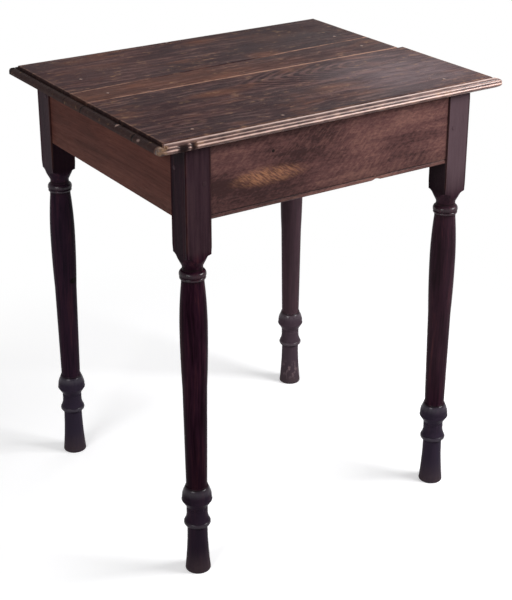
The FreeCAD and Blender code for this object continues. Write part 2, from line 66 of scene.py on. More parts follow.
def size(name, description, default):
    """A length that can be changed in the panel."""
    return FloatProperty(name=name, description=description, default=default, min=0.0, unit="LENGTH")


def tint(name, description, default):
    """A colour that can be changed in the panel."""
    return FloatVectorProperty(
        name=name, description=description, default=default, size=3, min=0.0, max=1.0, subtype="COLOR"
    )


# Sizes and colours


class FrontEdgeSizes(bpy.types.PropertyGroup):
    """The quirked bead along the front of the top."""

    nose: size("Nose", "From the outer edge in to the arris of the flat", 0.015)
    quirk_depth: size("Quirk depth", "Depth of the groove behind the nose", 0.0028)
    quirk_width: size("Quirk width", "Width of the groove behind the nose", 0.0032)
    bead_drop: size("Bead drop", "How far the crown of the nose lies below the flat", 0.0008)
    nose_drop: size("Nose drop", "Where the nose meets the upright edge", 0.0075)
    edge_drop: size("Edge drop", "Where the upright edge ends", 0.0122)
    relief: size("Relief", "How far the under edge is eased back", 0.008)


class EndEdgeSizes(bpy.types.PropertyGroup):
    """The thumbnail moulding round the other sides of the top."""

    nose: size("Nose", "From the outer edge in to the arris of the flat", 0.013)
    quirk_depth: size("Quirk depth", "Depth of the groove behind the nose", 0.0052)
    quirk_width: size("Quirk width", "Width of the groove behind the nose", 0.005)
    bead_drop: size("Bead drop", "How far the crown of the nose lies below the flat", 0.0038)
    nose_drop: size("Nose drop", "Where the nose meets the upright edge", 0.0095)
    edge_drop: size("Edge drop", "Where the upright edge ends", 0.0132)
    relief: size("Relief", "How far the under edge is eased back", 0.007)


class TopSizes(bpy.types.PropertyGroup):
    """The three boards of the top."""

    corner_round: size("Corner round", "Radius of the top's corners", 0.009)
    arris_ease: size("Arris ease", "How far wear has rounded the arrises of the flat", 0.0012)
    seam_ease: size("Seam ease", "How far wear has rounded the boards at their seams", 0.0016)
    seam_drop: size("Seam drop", "How far the worn seams fall", 0.0008)
    hollow: size("Hollow", "How far scrubbing has hollowed the boards", 0.0005)
    scribe: size("Scribe", "Place of the scribed line on the front nose", 0.004)
    scribe_depth: size("Scribe depth", "Depth of the scribed line on the front nose", 0.0006)
    scribe_width: size("Scribe width", "Half the width of the scribed line", 0.0008)
    loss_depth: size("Loss depth", "Depth of the bits broken out of the front nose", 0.0012)
    chip_depth: size("Chip depth", "Depth of the broad chip along the left end", 0.0018)
    notch_depth: size("Notch depth", "Depth of the notch under the front nose", 0.001)
    lip_depth: size("Lip depth", "How far the front's lower edge is worked in", 0.0008)
    back_relief: size("Back relief", "How far the under edge is eased at the back", 0.004)


class LegSizes(bpy.types.PropertyGroup):
    """A turned leg; radii and heights from the floor."""

    block: size("Block", "Width of the square block", 0.04)
    block_bottom: size("Block bottom", "Where the square corners end", 0.528)
    block_ease: size("Block ease", "How far the block's corners are worn", 0.0012)
    shoulder_radius: size("Shoulder radius", "Radius under the block", 0.0214)
    shoulder_height: size("Shoulder height", "Height of the shoulder", 0.522)
    neck_radius: size("Neck radius", "Radius above the upper ring", 0.0152)
    neck_top: size("Neck top", "Top of the neck", 0.5095)
    neck_bottom: size("Neck bottom", "Bottom of the neck", 0.5065)
    ring_radius: size("Ring radius", "Radius of the upper ring", 0.02)
    ring_height: size("Ring height", "Height of the upper ring's arris", 0.495)
    ring_foot: size("Ring foot", "Bottom of the upper ring", 0.488)
    shaft_top_radius: size("Shaft top radius", "Radius under the upper ring", 0.0163)
    belly_radius: size("Belly radius", "Thickest radius of the shaft", 0.0205)
    belly_height: size("Belly height", "Height of the belly", 0.411)
    waist_radius: size("Waist radius", "Radius where the belly ends", 0.0183)
    waist_height: size("Waist height", "Height of the waist", 0.316)
    shaft_foot_radius: size("Shaft foot radius", "Radius at the bottom of the shaft", 0.016)
    bell_top: size("Bell top", "Where the bell starts", 0.148)
    bell_radius: size("Bell radius", "Radius of the bell's lip", 0.0235)
    bell_height: size("Bell height", "Height of the bell's lip", 0.125)
    spool_radius: size("Spool radius", "Radius between bell and lower ring", 0.0162)
    spool_top: size("Spool top", "Top of the spool", 0.113)
    spool_bottom: size("Spool bottom", "Bottom of the spool", 0.101)
    low_ring_radius: size("Low ring radius", "Radius of the lower ring", 0.0206)
    low_ring_height: size("Low ring height", "Height of the lower ring", 0.0855)
    low_ring_foot: size("Low ring foot", "Bottom of the lower ring", 0.08)
    foot_radius: size("Foot radius", "Radius under the lower ring", 0.0154)
    sole_radius: size("Sole radius", "Radius on the floor", 0.0196)
    scribe: size("Scribe", "Depth of the turner's scribed lines", 0.0005)


class RailSizes(bpy.types.PropertyGroup):
    """The four rails between the legs."""

    bead: size("Bead", "Height of the bead under the front rail", 0.006)
    bead_quirk: size("Bead quirk", "Height of the groove over the bead", 0.002)
    bead_depth: size("Bead depth", "Depth of the groove over the bead", 0.0016)
    bead_round: size("Bead round", "Radius of the bead's lower edge", 0.0024)
    bead_ease: size("Bead ease", "How far the bead's upper arris is worn", 0.0012)
    chip_height: size("Chip height", "Height of the chip out of the bead", 0.0025)
    chip_place: size("Chip place", "Place of the chip along the bead", 0.074)
    chip_reach: size("Chip reach", "Half the length of the chip", 0.008)
    ease: size("Ease", "How far the plain rails' edges are worn", 0.0009)
    shoulder_gap: size("Shoulder gap", "Shrinkage that opened the front rail's shoulders", 0.0011)
    cheek: size("Cheek", "Wood left beside the tenons", 0.006)
    tenon: size("Tenon", "Length of the tenons", 0.02)
    tenon_root: size("Tenon root", "How far the tenons run on into the rails", 0.002)
    tenon_low: size("Tenon low", "Wood left under the tenons", 0.010)
    tenon_high: size("Tenon high", "Wood left over the tenons", 0.018)


class Finishes(bpy.types.PropertyGroup):
    """Colours of the old oak."""

    top_dark: tint("Top dark", "Dark grain of the top", (0.023, 0.0078, 0.01))
    top_mid: tint("Top middle", "Main colour of the top", (0.041, 0.0165, 0.018))
    top_light: tint("Top light", "Pale grain of the top", (0.098, 0.044, 0.041))
    top_line: tint("Top line", "Fine pale lines of the top's grain", (0.18, 0.1, 0.086))
    top_warm: tint("Top warm", "Patches of the top where the stain has gone", (0.2, 0.076, 0.043))
    # Also a painted sheen at the right of the front board; on the back right foot, the pale of its pits
    top_sheen_and_pale: tint("Top faded", "Faded wood, as at the right of the front board", (0.17, 0.115, 0.125))
    end: tint("End", "End grain along the left of the top", (0.045, 0.025, 0.023))
    # Also a painted highlight: the pale lines along the front nose are painted in it
    nose: tint("Nose", "Nose of the front, rubbed by hands", (0.66, 0.45, 0.395))
    worn: tint("Worn", "Bare wood on the top's worn edges", (0.36, 0.205, 0.15))
    gold: tint("Gold", "Bare wood at the near corner", (0.34, 0.19, 0.1))
    # Also painted shade: the underside of the top, the seams and the grooves are darkened with it
    grime: tint("Grime", "Dirt in grooves and cracks", (0.008, 0.0055, 0.0055))
    rail_dark: tint("Rail dark", "Dark grain of the front rail", (0.036, 0.016, 0.016))
    rail_mid: tint("Rail middle", "Main colour of the front rail", (0.096, 0.0425, 0.04))
    rail_light: tint("Rail light", "Pale grain of the front rail", (0.175, 0.083, 0.068))
    fleck: tint("Fleck", "Golden ray fleck of the front rail", (0.34, 0.155, 0.082))
    side_dark: tint("Side dark", "Dark grain of the other rails", (0.042, 0.0142, 0.0105))
    side_mid: tint("Side middle", "Main colour of the other rails", (0.084, 0.03, 0.0235))
    side_light: tint("Side light", "Pale grain of the other rails", (0.125, 0.05, 0.037))
    leg_dark: tint("Leg dark", "Dark grain of the legs", (0.0055, 0.0014, 0.0035))
    leg_mid: tint("Leg middle", "Main colour of the legs", (0.0205, 0.0058, 0.013))
    leg_light: tint("Leg light", "Red streaks of the legs", (0.046, 0.0135, 0.0175))
    leg_block: tint("Leg block", "Dry wood of the leg blocks", (0.041, 0.023, 0.028))
    # Partly painted light: it paints the front right leg, the one behind it and their pegs paler
    leg_fade_and_light: tint("Leg pale", "The leg whose stain has faded most", (0.092, 0.06, 0.069))
    leg_low: tint("Leg low", "Bloom on the bells and feet", (0.027, 0.0205, 0.034))
    leg_worn: tint("Leg worn", "Rubbed corners of the leg blocks", (0.07, 0.03, 0.022))
    dust: tint("Dust", "Pale dust on the soles", (0.068, 0.048, 0.049))


# Nodes


class Mark:
    """A value, vector or colour in a material, on which arithmetic adds Math nodes."""

    def __init__(self, tree, socket=None):
        self.tree = tree
        self.socket = socket

    def make(self, kind, settings=None, sockets=None, output=0):
        """Adds a node: its settings first, then the values or links of its sockets."""
        node = self.tree.nodes.new(kind)
        for name, value in (settings or {}).items():
            if name != "stops":
                setattr(node, name, value)
                continue
            elements = node.color_ramp.elements
            while len(elements) < len(value):
                elements.new(0.5)
            for element, (position, colour) in zip(elements, value):
                element.position = position
                element.color = (*colour[:3], 1.0)
        for name, value in (sockets or {}).items():
            if isinstance(value, Mark):
                self.tree.links.new(value.socket, node.inputs[name])
            else:
                node.inputs[name].default_value = value
        return Mark(self.tree, node.outputs[output] if node.outputs else None)

    def maths(self, operation, first, second=0.0):
        return self.make("ShaderNodeMath", {"operation": operation}, {0: first, 1: second})

    def __add__(self, other):
        return self.maths("ADD", self, other)

    __radd__ = __add__

    def __sub__(self, other):
        return self.maths("SUBTRACT", self, other)

    def __rsub__(self, other):
        return self.maths("SUBTRACT", other, self)

    def __mul__(self, other):
        return self.maths("MULTIPLY", self, other)

    def __truediv__(self, other):
        return self.maths("DIVIDE", self, other)

    def __pow__(self, other):
        return self.maths("POWER", self, other)

    def larger(self, other):
        return self.maths("MAXIMUM", self, other)

    def wave(self):
        """A wave between 0 and 1."""
        return self.maths("SINE", self) * 0.5 + 0.5

    def moved(self, location=(0, 0, 0), turn=(0, 0, 0), stretch=(1, 1, 1)):
        """The place scaled, turned and moved."""
        sockets = {"Vector": self, "Location": location, "Rotation": turn, "Scale": stretch}
        return self.make("ShaderNodeMapping", {}, sockets)

    def noise(self, stretch, detail=2.0, roughness=0.5, location=(0, 0, 0)):
        """Cloudy noise with its features stretched."""
        sockets = {
            "Vector": self.moved(location, stretch=stretch),
            "Scale": 1.0,
            "Detail": detail,
            "Roughness": roughness,
        }
        return self.make("ShaderNodeTexNoise", {}, sockets, "Fac")

    def between(self, low, high):
        """0 below low, 1 above high, and smooth between them."""
        sockets = {"Value": self, "From Min": low, "From Max": high}
        return self.make("ShaderNodeMapRange", {"interpolation_type": "SMOOTHSTEP"}, sockets, "Result")

    def span(self):
        """The length of a vector."""
        return self.make("ShaderNodeVectorMath", {"operation": "LENGTH"}, {0: self}, "Value")

    def near(self, place, reach, full=None):
        """1 at a place, or wherever the fade is past full, and 0 at its reach along each axis."""
        away = self.make("ShaderNodeVectorMath", {"operation": "SUBTRACT"}, {0: self, 1: place})
        away = self.make("ShaderNodeVectorMath", {"operation": "DIVIDE"}, {0: away, 1: reach})
        inside = (1.0 - away.span()).between(0.0, 1.0)
        return inside.between(0.0, full) if full else inside

    def parts(self):
        """The three numbers of a vector."""
        node = self.make("ShaderNodeSeparateXYZ", {}, {0: self}).socket.node
        return [Mark(self.tree, socket) for socket in node.outputs]

    def painted(self, under, over):
        """One colour laid over another, as strongly as this value says."""
        under, over = ((*c[:3], 1.0) if not isinstance(c, Mark) else c for c in (under, over))
        return self.make("ShaderNodeMix", {"data_type": "RGBA"}, {0: self, 6: under, 7: over}, 2)

    def toned(self, *stops):
        """A colour from a ramp of (position, colour)."""
        return self.make("ShaderNodeValToRGB", {"stops": stops}, {"Fac": self}, "Color")


GRAIN_TURNS = {"x": (0, 0, 0), "y": (0, 0, -math.pi / 2), "z": (0, math.pi / 2, 0)}
MARKS = ("wear", "grime", "polish")


def new_material(name):
    """An empty node material and the place on the piece."""
    material = bpy.data.materials.new(name)
    material.use_nodes = True
    material.node_tree.nodes.clear()
    place = Mark(material.node_tree).make("ShaderNodeTexCoord", output="Object")
    return material, place


class Grain:
    """The patterns that every piece of oak shares, with the grain along one axis."""

    def __init__(self, place, along, bands=(4, 120, 120), waver=0.0):
        lay = place.moved(turn=GRAIN_TURNS[along])
        drift = lay.noise((2.4, 11, 11), 2.0) - 0.5
        swing = drift * 0.03
        if waver:
            swing = swing + (lay.noise((13, 22, 22), 2.0) - 0.5) * waver
        sideways = lay.make("ShaderNodeCombineXYZ", {}, {1: swing, 2: drift * 0.02})
        self.lay = lay.make("ShaderNodeVectorMath", {"operation": "ADD"}, {0: lay, 1: sideways})
        self.bands = self.lay.noise(bands, 4.0, 0.62)
        self.fibre = self.lay.noise((10, 640, 640), 2.0, 0.6)
        self.pores = self.lay.noise((42, 1500, 1500), 1.0).between(0.6, 0.7)
        self.patina = lay.noise((6, 15, 15), 4.0, 0.6)
        self.mottle = lay.noise((60, 110, 110), 3.0, 0.6)
        self.wear, self.grime, self.polish = (
            place.make("ShaderNodeAttribute", {"attribute_name": name}, {}, "Fac") for name in MARKS
        )

    def rubbed(self):
        """Where wear has gone through to bare wood, broken up along the grain."""
        broken = ((self.mottle - 0.5) * 1.4 + (self.fibre - 0.5) * 0.6) * (1.0 - self.polish * 0.4)
        return (self.wear + self.wear * broken).between(0.2, 0.95)

    def aged(self, colour, dark, bare):
        """A colour with dark pores, worn wood where it is rubbed bare, and dirt and painted shade in the
        grooves.
        """
        tints = settings().finishes
        colour = (self.pores * 0.5).painted(colour, dark)
        colour = (self.rubbed() * bare).painted(colour, tints.worn)
        return self.grime.painted(colour, tints.grime)

    def relief(self, bands, fibre, mottle, pores):
        """The height of the surface: how far each pattern raises it and the pores sink it."""
        raised = self.bands * bands + self.fibre * fibre + self.mottle * mottle
        return raised - self.pores * pores


def lay_finish(material, colour, roughness, height, coat, specular, depth=0.0006):
    """The shader of a piece, from its colour, roughness and relief."""
    start = Mark(material.node_tree)
    relief = start.make("ShaderNodeBump", {}, {"Strength": 0.6, "Distance": depth, "Height": height})
    sockets = {
        "Base Color": colour,
        "Roughness": roughness,
        "Normal": relief,
        "Coat Weight": coat,
        "Coat Roughness": 0.2,
        "Specular IOR Level": specular,
    }
    shader = start.make("ShaderNodeBsdfPrincipled", {}, sockets)
    start.make("ShaderNodeOutputMaterial", {}, {"Surface": shader})
    return material


def settings():
    """The sizes and colours in the panel."""
    return bpy.context.scene.tavern_table


# Finishes


def top_finish(name, warmth):
    """Scrubbed and waxed oak boards with a cathedral figure, knots, warm patches and scratches."""
    tints = settings().finishes
    material, place = new_material(name)
    grain = Grain(place, "x", (15, 110, 110), 0.018)
    x, y, _ = place.parts()
    years = (grain.lay.parts()[1] * 430.0 + grain.patina * 14.0 + grain.mottle * 4.0).wave()
    blotch = grain.lay.noise((9, 34, 34), 3.0, 0.6)
    past_thickness = 0.05

    def spot(middle, reach, full=None):
        """1 round a place along and across the top, all through the board."""
        return place.near((*middle, FLAT), (*reach, past_thickness), full)

    # Cathedral figure on the front board: nested points that open to the right
    sideways = y + 0.056
    ring = (sideways * sideways + 0.00006) ** 0.5 - x * 0.5 + (grain.patina - 0.5) * 0.014
    figure = (ring * 520.0).wave()
    figured = spot((0.05, -0.06), (0.16, 0.06), 0.6)

    # Knots, with the grain bent round them
    knot = place.moved((0.11, 0.172, -FLAT), stretch=(0.5, 1, 1)).span()
    knotted = spot((-0.22, -0.172), (0.05, 0.026), 0.6)
    far_knot = place.moved((-0.033, -0.074, -FLAT), stretch=(0.45, 1, 1)).span()
    far_knotted = spot((0.073, 0.074), (0.05, 0.022))

    lines = grain.lay.noise((8, 190, 190), 2.0, 0.5)
    tone = grain.bands * 0.3 + lines * 0.12 + years * 0.04 + grain.mottle * 0.24 + blotch * 0.3
    tone = tone + figured * ((figure - 0.5) * 0.34)
    tone = tone + knotted * (((knot + (grain.patina - 0.5) * 0.006) * 560.0).wave() - 0.4) * 0.4
    tone = tone + far_knotted * ((far_knot * 620.0).wave() - 0.55) * 0.4
    tone = tone * 0.8 + grain.patina * 0.2
    colour = tone.toned((0.42, tints.top_dark), (0.5, tints.top_mid), (0.58, tints.top_light))
    patches = (blotch + grain.mottle * 0.25).between(0.5, 0.8)
    pale = (lines * 0.65 + years * 0.35).between(0.55, 0.75) * patches
    colour = (pale * 0.7).painted(colour, tints.top_line)
    colour = ((1.0 - lines).between(0.54, 0.66) * 0.6).painted(colour, tints.top_dark)

    # Warm places where the old stain has gone
    warm = place.noise((9, 30, 30), 4.0, 0.65, (3, 5, 1)).between(0.52, 0.68) * 0.6
    for middle, reach, strength in (
        ((0.157, 0.16), (0.08, 0.03), 0.95),
        ((0.03, 0.2), (0.06, 0.02), 0.8),
        ((-0.206, 0.2), (0.05, 0.02), 0.7),
        ((-0.108, -0.071), (0.07, 0.022), 0.95),
        ((0.061, -0.139), (0.07, 0.025), 0.8),
        ((0.073, 0.074), (0.05, 0.024), 0.9),
    ):
        warm = warm.larger(spot(middle, reach) * strength)
    colour = (warm * (grain.bands * 1.4 + grain.fibre * 0.6 - 0.3)).painted(colour, tints.top_warm)
    if warmth:
        fresh = (x * -1.0 + (grain.patina - 0.5) * 0.5).between(-0.14, 0.14) * 0.7 + 0.2
        colour = (fresh * grain.bands * warmth).painted(colour, tints.top_warm)
    # The right of the front board is painted paler and greyer: a painted sheen
    fade_and_sheen = spot((0.2, -0.13), (0.2, 0.16)) * (grain.bands * 1.7 - 0.25)
    colour = fade_and_sheen.painted(colour, tints.top_sheen_and_pale)

    # The top is painted darker at the back right and the front left, and paler at the back left
    for middle, reach, strength, stain in (
        ((0.2, 0.16), (0.24, 0.18), 0.8, tints.top_dark),
        ((-0.24, -0.12), (0.14, 0.14), 0.35, tints.top_dark),
        ((-0.2, 0.14), (0.16, 0.14), 0.45, tints.top_light),
    ):
        stained = spot(middle, reach) * (grain.mottle * 0.8 + 0.6) * strength
        colour = stained.painted(colour, stain)
    left_end = (x * -1.0).between(0.2895, 0.292)
    colour = (left_end * (0.4 + grain.mottle * 0.9)).painted(colour, tints.end)

    # Scratches across the grain
    scratches = place.moved(turn=(0, 0, 0.5)).noise((14, 420, 420), 1.0).between(0.7, 0.76)
    scratches = scratches * place.noise((30, 30, 30), 1.0, 0.5, (7, 1, 2)).between(0.5, 0.6)
    colour = (scratches * 0.4).painted(colour, tints.worn)
    colour = (grain.pores * 0.5).painted(colour, tints.top_dark)

    rubbed = grain.rubbed()
    colour = rubbed.painted(colour, tints.worn)
    # On the front nose the pale lines are painted in the nose colour: partly rubbed wood, partly painted
    # highlight
    colour = (rubbed * grain.polish).painted(colour, tints.nose)
    corner = place.near((-0.296, -0.2375, FLAT - 0.007), (0.013, 0.012, 0.03))
    corner = (corner + (grain.mottle - 0.5) * 3.0).between(0.2, 1.1)
    colour = (corner * 0.7).painted(colour, tints.gold)

    # Dark chips along the left end, with a pale splinter beside two of them
    chips = 0.0
    for (along, across, drop), reach in (
        ((-0.297, -0.012, 0.009), (0.016, 0.0024, 0.016)),
        ((-0.293, -0.108, 0.004), (0.008, 0.005, 0.01)),
        ((-0.3, -0.165, 0.009), (0.008, 0.004, 0.01)),
    ):
        chips = place.near((along, across, FLAT - drop), reach, 0.4).larger(chips)
    splinters = place.near((-0.296, -0.115, FLAT - 0.006), (0.007, 0.0035, 0.012), 0.4)
    splinters = splinters.larger(place.near((-0.3, -0.181, FLAT - 0.008), (0.005, 0.006, 0.003)))
    colour = (splinters * 0.7).painted(colour, tints.nose)
    colour = grain.grime.larger(chips * 0.9).painted(colour, tints.grime)

    roughness = 0.46 + (grain.patina - 0.5) * 0.3 + grain.pores * 0.15 - grain.polish * 0.14
    height = grain.relief(0.25, 0.25, 0.35, 0.5) - chips * 2.0
    return lay_finish(material, colour, roughness, height, coat=grain.polish * 0.5, specular=0.02)


def front_rail_finish():
    """Reddish oak with a golden patch of ray fleck and fainter flecks towards the right."""
    tints = settings().finishes
    material, place = new_material("front_rail_oak")
    grain = Grain(place, "x")
    x, _, _ = place.parts()
    slant = place.moved(turn=(0, 0.75, 0)).noise((80, 300, 340), 2.0, 0.55)
    speckle = grain.lay.noise((150, 330, 330), 3.0, 0.6)
    # The tone is painted lighter towards the right end: painted light
    tone = grain.bands * 0.22 + grain.patina * 0.44 + speckle * 0.22 + slant * 0.12 + x * 0.14
    colour = tone.toned((0.42, tints.rail_dark), (0.52, tints.rail_mid), (0.62, tints.rail_light))

    # Short strokes of ray fleck, gathered in one golden patch
    strokes = place.moved(turn=(0, -0.62, 0)).noise((75, 320, 480), 2.0, 0.55).between(0.38, 0.66)
    patch = place.near((-0.12, -0.2265, 0.625), (0.1, 0.08, 0.023))
    patch = (patch + (grain.patina - 0.5) * 0.6 + (grain.mottle - 0.5) * 0.3).between(0.08, 0.9)
    colour = (patch * (strokes * 0.6 + 0.16)).painted(colour, tints.fleck)
    faint = place.noise((7, 7, 18), 3.0, 0.6, (2, 0, 4)).between(0.42, 0.66)
    faint = faint * (x + 0.3).between(0.0, 0.45)
    colour = (slant.between(0.46, 0.64) * faint * 0.4).painted(colour, tints.rail_light)

    # A small hole over the patch
    hole = place.near((-0.112, -0.2265, 0.66), (0.0036, 0.03, 0.0036)).between(0.1, 0.35)
    colour = hole.painted(colour, tints.grime)
    colour = grain.aged(colour, tints.rail_dark, 0.6)
    roughness = 0.44 + (grain.patina - 0.5) * 0.25 + grain.pores * 0.12
    height = grain.relief(0.25, 0.25, 0.4, 0.4)
    return lay_finish(material, colour, roughness, height, coat=0.0, specular=0.06)


def side_rail_finish(along):
    """Plain red-brown oak of the other rails."""
    tints = settings().finishes
    material, place = new_material(f"side_rail_oak_{along}")
    grain = Grain(place, along)
    tone = grain.bands * 0.36 + grain.patina * 0.4 + grain.fibre * 0.24
    colour = tone.toned((0.38, tints.side_dark), (0.52, tints.side_mid), (0.66, tints.side_light))
    colour = grain.aged(colour, tints.side_dark, 0.5)
    roughness = 0.5 + (grain.patina - 0.5) * 0.25 + grain.pores * 0.12
    height = grain.relief(0.25, 0.25, 0.4, 0.4)
    return lay_finish(material, colour, roughness, height, coat=0.0, specular=0.02)


def leg_finish():
    """Near-black polished oak with red streaks, dusty at the soles."""
    tints, sizes = settings().finishes, settings().legs
    material, place = new_material("leg_oak")
    grain = Grain(place, "z", (9, 160, 160))
    x, y, rise = place.parts()
    tone = grain.bands * 0.5 + grain.patina * 0.22 + grain.fibre * 0.28
    colour = tone.toned((0.4, tints.leg_dark), (0.52, tints.leg_mid), (0.64, tints.leg_light))
    colour = (grain.pores * 0.5).painted(colour, tints.leg_dark)

    def on_leg(node, height=0.3, across=0.08, tall=0.6):
        """1 on one leg, whole or round a height, fading out at its reaches across and up."""
        axis = leg_axis(node)
        return place.near((axis.x, axis.y, height), (across, across, tall), 0.5)

    # The near leg is darkest low down, and bloom greys the left shaft, the bells and the feet
    near_leg = on_leg("leg_front_left")
    left_leg = on_leg("leg_back_left")
    colour = ((1.0 - rise).between(0.7, 0.84) * near_leg * 0.5).painted(colour, tints.leg_dark)
    colour = (left_leg * 0.28).painted(colour, tints.leg_low)
    low = (sizes.bell_top - rise).between(-0.001, 0.003) * (0.5 + grain.patina * 0.7)
    colour = (low * (1.0 - near_leg * 0.5)).painted(colour, tints.leg_low)

    # The blocks are dry, the near one painted dark at its left as shade; the front right leg and the one
    # behind it are painted paler, partly fading of the stain and partly painted light
    half = sizes.block / 2
    first, last = leg_axis("leg_front_left"), leg_axis("leg_back_right")
    left_face = half - first.x
    # The left face of the near block is painted dark as shade
    shaded_side = (x * -1.0).between(left_face - 0.0014, left_face - 0.0002)
    shaded_side = shaded_side * (y * -1.0).between(0.1, 0.12) * 0.75
    dry = rise.between(0.52, 0.54) * (0.5 + grain.bands.between(0.34, 0.66) * 0.35) * (1.0 - shaded_side)
    colour = dry.painted(colour, tints.leg_block)
    colour = (shaded_side * 0.6).painted(colour, tints.leg_dark)
    # The front right leg and the one behind it are painted paler: partly fading of the stain, partly
    # painted light
    fade_and_sheen = on_leg("leg_front_right", 0.63, 0.06, 0.16)
    fade_and_sheen = fade_and_sheen.larger(on_leg("leg_front_right", 0.4, 0.06, 0.35) * 0.2)
    fade_and_sheen = fade_and_sheen.larger(on_leg("leg_back_right") * 0.62)
    colour = (fade_and_sheen * (0.45 + grain.bands * 0.3 + grain.mottle * 0.2)).painted(colour, tints.leg_fade_and_light)

    # The inner faces of the blocks are painted dark as shade
    inner = 0.0
    for axis, place_on in ((0, x), (1, y)):
        start, end = first[axis] + half, last[axis] - half
        shaded_face = place_on.between(start - 0.0006, start) * (1.0 - place_on.between(end, end + 0.0006))
        inner = shaded_face.larger(inner)
    colour = (inner * rise.between(0.515, 0.53) * 0.8).painted(colour, tints.leg_dark)
    colour = (grain.rubbed() * 0.7).painted(colour, tints.leg_worn)

    # A knot hollow on the back left shaft, a pitted back right foot, dust on every sole
    hollow = place.near((-0.2293, 0.199, 0.331), (0.012, 0.012, 0.008)).between(0.1, 0.5)
    pitted = place.near((0.22, 0.204, 0.03), (0.03, 0.03, 0.026)) * grain.mottle.between(0.5, 0.6)
    dusty = (1.0 - rise / 0.05).between(0.0, 1.2) * (grain.mottle * 0.8 + 0.3)
    colour = (dusty * 0.75).painted(colour, tints.dust)
    colour = (pitted * 0.9).painted(colour, tints.top_sheen_and_pale)
    colour = grain.grime.larger(hollow).painted(colour, tints.grime)

    roughness = 0.34 + (grain.patina - 0.5) * 0.2 + dusty * 0.25 - grain.polish * 0.1
    height = grain.relief(0.3, 0.3, 0.3, 0.4) - hollow * 2.0 - pitted
    coat = grain.polish * 0.6
    return lay_finish(material, colour, roughness, height, coat, specular=0.012, depth=0.0003)


def peg_finish():
    """Riven pegs and pins, dark with paler end grain."""
    tints = settings().finishes
    material, place = new_material("peg_oak")
    grain = Grain(place, "z")
    speckle = place.noise((900, 900, 900), 2.0)
    tone = speckle * 0.5 + grain.patina * 0.5
    colour = tone.toned((0.36, tints.leg_mid), (0.52, tints.leg_block), (0.7, tints.rail_dark))
    # Pegs on the front right block are painted paler like it: partly fading, partly painted light
    fade_and_sheen = place.near((0.228, -0.2295, 0.635), (0.06, 0.03, 0.12), 0.5)
    colour = (fade_and_sheen * 0.55).painted(colour, tints.leg_fade_and_light)
    # Worn pin heads are painted pale: partly bare wood, partly painted highlight
    colour = (grain.wear * speckle.between(0.25, 0.6)).painted(colour, tints.worn)
    colour = grain.grime.painted(colour, tints.grime)
    roughness = 0.45 + (grain.patina - 0.5) * 0.2
    coat = grain.wear * 0.3
    return lay_finish(material, colour, roughness, speckle, coat, specular=0.03, depth=0.0004)


# Shared shaping


def spaced(stops, longest):
    """Lines through the stops, with even steps no longer than the longest between them."""
    lines = [stops[0]]
    for stop in stops[1:]:
        first = lines[-1]
        count = max(1, math.ceil((stop - first) / longest - 1e-6))
        lines += [first + (stop - first) * step / count for step in range(1, count + 1)]
    return lines


def bow(start, end, amount, steps):
    """Points from start up to end on a curve that bows outwards by a share of its chord."""
    start, end = Vector(start), Vector(end)
    chord = end - start
    side = Vector((chord.y, -chord.x))
    shares = [step / steps for step in range(steps)]
    return [start + chord * t + side * (4.0 * amount * t * (1.0 - t)) for t in shares]


def bead(middle, reach, angles):
    """Points round a bead, from its middle, its reach out and up, and angles up from level."""
    middle, reach = Vector(middle), Vector(reach)
    turns = [math.radians(angle) for angle in angles]
    return [middle + Vector((reach.x * math.cos(a), reach.y * math.sin(a))) for a in turns]


def ridge(value, middle, reach):
    """1 at the middle, falling evenly to 0 at the reach."""
    return max(0.0, 1.0 - abs(value - middle) / reach)


def ripple(x, y, z, scale):
    """Slow, repeatable unevenness between -1 and 1."""
    return noise.noise(Vector((x, y, z)) * scale)


def leg_axis(node):
    """Where the axis of a leg meets the floor."""
    low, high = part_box(node)
    return ((low + high) / 2).to_2d().to_3d()


def lathe(outline, steps):
    """A solid turned about Z from an outline of (radius, height)."""
    bm = bmesh.new()
    verts = [bm.verts.new((out, 0.0, up)) for out, up in outline]
    edges = [bm.edges.new(pair) for pair in zip(verts, verts[1:])]
    bmesh.ops.spin(
        bm, geom=[*verts, *edges], cent=(0, 0, 0), axis=(0, 0, 1), angle=math.tau, steps=steps,
        use_merge=True,
    )
    bmesh.ops.remove_doubles(bm, verts=bm.verts, dist=1e-7)
    bmesh.ops.recalc_face_normals(bm, faces=bm.faces)
    return bm


def draw_out(bm, faces, run):
    """Draws faces out along a run into a solid."""
    drawn = bmesh.ops.extrude_face_region(bm, geom=faces, use_keep_orig=True)
    far = [item for item in drawn["geom"] if isinstance(item, bmesh.types.BMVert)]
    bmesh.ops.translate(bm, verts=far, vec=run)


def ease_edges(bm, edges, amount):
    """Rounds edges off, as wear does."""
    bmesh.ops.bevel(
        bm, geom=edges, offset=amount, affect="EDGES", segments=2, profile=0.5, material=-1
    )


def new_object(name, data):
    """A new object in the scene."""
    thing = bpy.data.objects.new(name, data)
    bpy.context.scene.collection.objects.link(thing)
    return thing


def place_piece(bm, node, material, marks, sharp=38.0):
    """Makes a piece of a mesh, with its wear marks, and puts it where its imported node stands."""
    layers = {name: bm.verts.layers.float.new(name) for name in MARKS}
    bm.verts.index_update()
    for vert in bm.verts:
        for name, amount in marks(vert).items():
            vert[layers[name]] = max(0.0, min(1.0, amount))
    mesh = bpy.data.meshes.new(f"{node}_oak")
    for face in bm.faces:
        face.smooth = True
    bm.to_mesh(mesh)
    bm.free()
    mesh.set_sharp_from_angle(angle=math.radians(sharp))
    mesh.materials.append(material)
    piece = new_object(mesh.name, mesh)
    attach(piece, "root")
    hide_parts(node)


# Boards


def crown_of(edge):
    """How far in the nose of a moulded edge ends and its groove starts."""
    return edge.nose - edge.quirk_width


def groove_wall(edge):
    """How far in the inner wall of the groove starts."""
    return edge.nose - edge.quirk_width * 0.1


def groove_floor(edge):
    """How far in the flat floor of the groove starts."""
    return edge.nose - edge.quirk_width * 0.35


